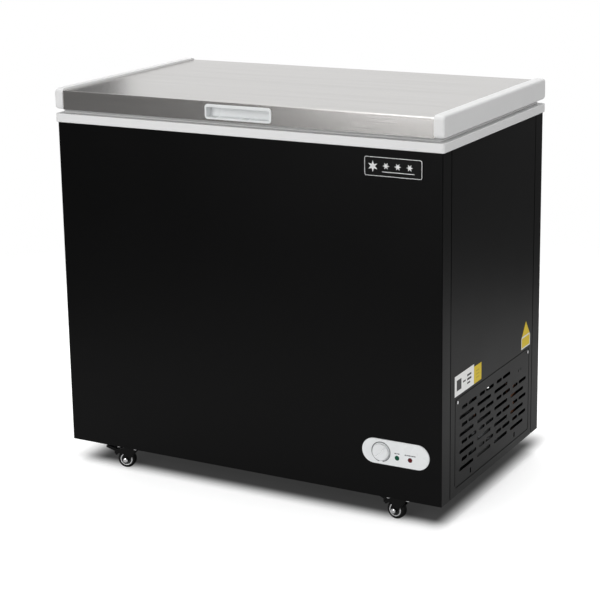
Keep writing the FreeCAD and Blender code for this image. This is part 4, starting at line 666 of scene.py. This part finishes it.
def foot_screw(name, x):
    """A domed screw head that peeks out under the front panel's lower edge."""
    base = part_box("base_plate")[0]
    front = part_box("front_panel")[0].y
    piece = drum(name, (x, front + 9 * MM, base.z - 1.4 * MM), 4.6 * MM, 2.8 * MM, (0, 0, -1), 32)
    edit(piece)
    choose(piece, "FACE", facing((0, 0, -1)))
    for inset, rise in ((0.7, 0.8), (1.2, 0.4)):
        bpy.ops.mesh.inset(thickness=inset * MM)
        bpy.ops.transform.translate(value=(0, 0, -rise * MM))
    bpy.ops.mesh.inset(thickness=0.8 * MM)
    bpy.ops.transform.translate(value=(0, 0, 1.2 * MM))
    bpy.ops.object.mode_set(mode="OBJECT")
    finished(piece, wheel_zinc, "cabinet", 40)


# ---------------------------------------------------------------- lid seal

def lid_seal():
    """The magnetic seal: a grey bellows with two ribs, round the lid's underside."""
    low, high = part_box("lid_gasket")
    rise = high.z - low.z
    levels = [(0.0, 1.6), (0.10, 0.4), (0.30, 0.0), (0.44, 0.5), (0.52, 1.9), (0.60, 0.7),
              (0.74, 0.3), (0.90, 0.9), (1.0, 2.2)]
    width = 14 * MM
    piece = slab("SealBellows", (low.x, low.y, low.z), (high.x, high.y, low.z + rise * 0.1))
    edit(piece)
    choose(piece, "EDGE", along((0, 0, 1)))
    bpy.ops.mesh.bevel(offset=11 * MM, segments=8, affect="EDGES")
    choose(piece, "FACE", lambda part: abs(part.normal.z) < 0.5 or part.normal.z < -0.5)
    bpy.ops.mesh.delete(type="FACE")
    centre = (low + high) / 2
    spread = Vector((high.x - low.x, high.y - low.y, 0)) / 2

    def pulled_in(amount, before):
        """Scale the selected outline so that its sides stand an amount further in."""
        share = [(side - amount * MM) / (side - before * MM) for side in (spread.x, spread.y)]
        bpy.ops.transform.resize(value=(share[0], share[1], 1), center_override=centre)

    choose(piece, "FACE", lambda part: True)
    bpy.ops.transform.translate(value=(0, 0, -rise * 0.1))
    pulled_in(levels[0][1], 0)
    bpy.ops.mesh.inset(thickness=width)
    bpy.ops.mesh.delete(type="FACE")
    for (share, inset), (last_share, last_inset) in zip(levels[1:], levels):
        top = low.z + rise * last_share
        choose(piece, "EDGE", lambda part: part.is_boundary and outer_edge(part, centre, spread, width)
               and abs(middle_of(part).z - top) < 0.01 * MM)
        bpy.ops.mesh.extrude_edges_move(
            TRANSFORM_OT_translate={"value": (0, 0, rise * (share - last_share))})
        pulled_in(inset, last_inset)
    choose(piece, "EDGE", lambda part: part.is_boundary and not outer_edge(part, centre, spread, width))
    bpy.ops.mesh.extrude_edges_move(TRANSFORM_OT_translate={"value": (0, 0, rise)})
    choose(piece, "EDGE", lambda part: part.is_boundary)
    bpy.ops.mesh.bridge_edge_loops()
    bpy.ops.mesh.select_all(action="SELECT")
    bpy.ops.mesh.remove_doubles(threshold=1e-6)
    bpy.ops.mesh.normals_make_consistent(inside=False)
    bpy.ops.object.mode_set(mode="OBJECT")
    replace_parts(finished(piece, grey_seal, "lid", 60), "lid_gasket")


def outer_edge(part, centre, spread, width):
    """Whether an edge of the seal lies on its outer side."""
    place = middle_of(part) - centre
    return max(abs(place.x) - spread.x, abs(place.y) - spread.y) > -width / 2


thermostat_knob()
knob_gap_shade_ring()
dial_marks()
lamp("green_lamp", "GreenLampLens", green_lens, "green_lens")
lamp("red_lamp", "RedLampLens", red_lens, "red_lens")
badge_edge()
badge_marks()
for tag in WORDS:
    caster_wheel(tag)
lid_seal()
foot_screw("FootScrew_left", -0.43)
foot_screw("FootScrew_right", 0.43)


# ---------------------------------------------------------------- floor, lights and camera

def floor():
    """A white studio floor that fades out into the white air, darker close under the cabinet, where a
    shadow is painted into its colour and glow.
    """
    nothing_selected()
    bpy.ops.mesh.primitive_circle_add(vertices=96, radius=2.6, fill_type="NGON", location=(0, 0, -0.0005))
    piece = begun("StudioFloor")
    finish = Finish("FloorPaint", (0.93, 0.93, 0.93), 0.8, Specular_IOR_Level=0.1)
    x, y = finish.axis("X"), finish.axis("Y")

    def ramp(amount, start, end):
        """Rise smoothly from 0 to 1 between two amounts."""
        return finish.node("ShaderNodeMapRange", {"interpolation_type": "SMOOTHSTEP"},
                           {0: amount, 1: start, 2: end, 3: 0.0, 4: 1.0})

    # Painted shadow: a soft box under the cabinet where the floor's colour and glow turn dark.
    painted_shadow = ramp(y, -0.264, -0.206) * ramp(x, -0.50, -0.40) * ramp(x, 0.464, 0.41) * ramp(y, 0.40, 0.27)
    seen = finish.node("ShaderNodeLightPath", {}, {}, "Is Camera Ray")
    cloud = finish.noise(3, 2)
    finish.set("Base Color", finish.mixed(painted_shadow, finish.shaded(cloud, 0.02), (0.05, 0.05, 0.05, 1)))
    # The glow the camera sees: white, dimmed to near black inside the painted shadow under the cabinet.
    glow_with_painted_shadow = finish.mixed(painted_shadow, (0.5, 0.5, 0.5, 1), (0.03, 0.03, 0.03, 1))
    finish.set("Emission Color", finish.mixed(seen, (0, 0, 0, 1), glow_with_painted_shadow))
    finish.set("Emission Strength", 1.0)
    reach = finish.node("ShaderNodeVectorMath", {"operation": "LENGTH"}, {0: finish.place}, 1)
    underside = finish.node("ShaderNodeNewGeometry", {}, {}, "Backfacing")
    gone, whole = 2.2, 1.0
    finish.set("Alpha", ramp(reach, gone, whole) * (1 - underside))
    piece.data.materials.append(finish.material)


def soft_light(name, place, target, size, power, colour=(1, 1, 1)):
    """A large rectangular lamp that looks at a point."""
    light = bpy.data.lights.new(name, "AREA")
    light.shape = "RECTANGLE"
    light.size, light.size_y = size
    light.energy = power
    light.color = colour
    lamp_object = bpy.data.objects.new(name, light)
    lamp_object.location = place
    lamp_object.rotation_euler = (Vector(target) - Vector(place)).to_track_quat("-Z", "Y").to_euler()
    lamp_object.visible_camera = False
    bpy.context.collection.objects.link(lamp_object)


def studio_air():
    """White to look at, and a dimmer grey as light."""
    world = bpy.data.worlds.new("StudioAir")
    bpy.context.scene.world = world
    world.use_nodes = True
    tree = world.node_tree
    shown = tree.nodes["Background"]
    shown.inputs["Color"].default_value = (1, 1, 1, 1)
    shown.inputs["Strength"].default_value = 1.0
    lit = tree.nodes.new("ShaderNodeBackground")
    lit.inputs["Color"].default_value = (1, 1, 1, 1)
    lit.inputs["Strength"].default_value = 0.16
    path = tree.nodes.new("ShaderNodeLightPath")
    chosen = tree.nodes.new("ShaderNodeMixShader")
    tree.links.new(path.outputs["Is Camera Ray"], chosen.inputs["Fac"])
    tree.links.new(lit.outputs[0], chosen.inputs[1])
    tree.links.new(shown.outputs[0], chosen.inputs[2])
    tree.links.new(chosen.outputs[0], tree.nodes["World Output"].inputs["Surface"])


def camera():
    """The main view, from the front and a little to the right and above."""
    azimuth, elevation, roll = (math.radians(angle) for angle in (29.521, 13.971, -1.049))
    distance, target = 3.8485, Vector((-0.05363, -0.00505, 0.47028))
    back = Vector((math.sin(azimuth) * math.cos(elevation), -math.cos(azimuth) * math.cos(elevation),
                   math.sin(elevation)))
    right = Vector((math.cos(azimuth), math.sin(azimuth), 0))
    up = back.cross(right)
    across = math.cos(roll) * right + math.sin(roll) * up
    upward = math.cos(roll) * up - math.sin(roll) * right
    lens_data = bpy.data.cameras.new("MainView")
    lens_data.sensor_width = 36
    lens_data.lens = 104.222
    lens_data.shift_x = 0.03
    lens_data.shift_y = -0.08
    lens_data.clip_end = 100
    viewer = bpy.data.objects.new("MainView", lens_data)
    viewer.matrix_world = Matrix.Translation(target + back * distance) @ Matrix(
        (across, upward, back)).transposed().to_4x4()
    bpy.context.collection.objects.link(viewer)
    bpy.context.scene.camera = viewer


floor()
studio_air()
soft_light("TopLight", (-0.2, 0.5, 3.4), (0, 0.2, 0), (3.6, 3.2), 80)
soft_light("KeyLight", (-0.62, -4.2, 2.0), (-0.62, 0, 1.6), (2.6, 3.5), 120)
soft_light("BackLight", (-0.6, 4.4, 1.7), (0, 0, 0.8), (5.4, 3.0), 38)
soft_light("SideLight", (4.2, -0.6, 1.6), (0.4, 0, 0.5), (2.4, 2.4), 58)
soft_light("LeftLight", (-4.2, 1.6, 1.4), (-0.4, 0, 0.5), (2.2, 2.4), 40)
camera()
bpy.context.scene.view_settings.view_transform = "Standard"
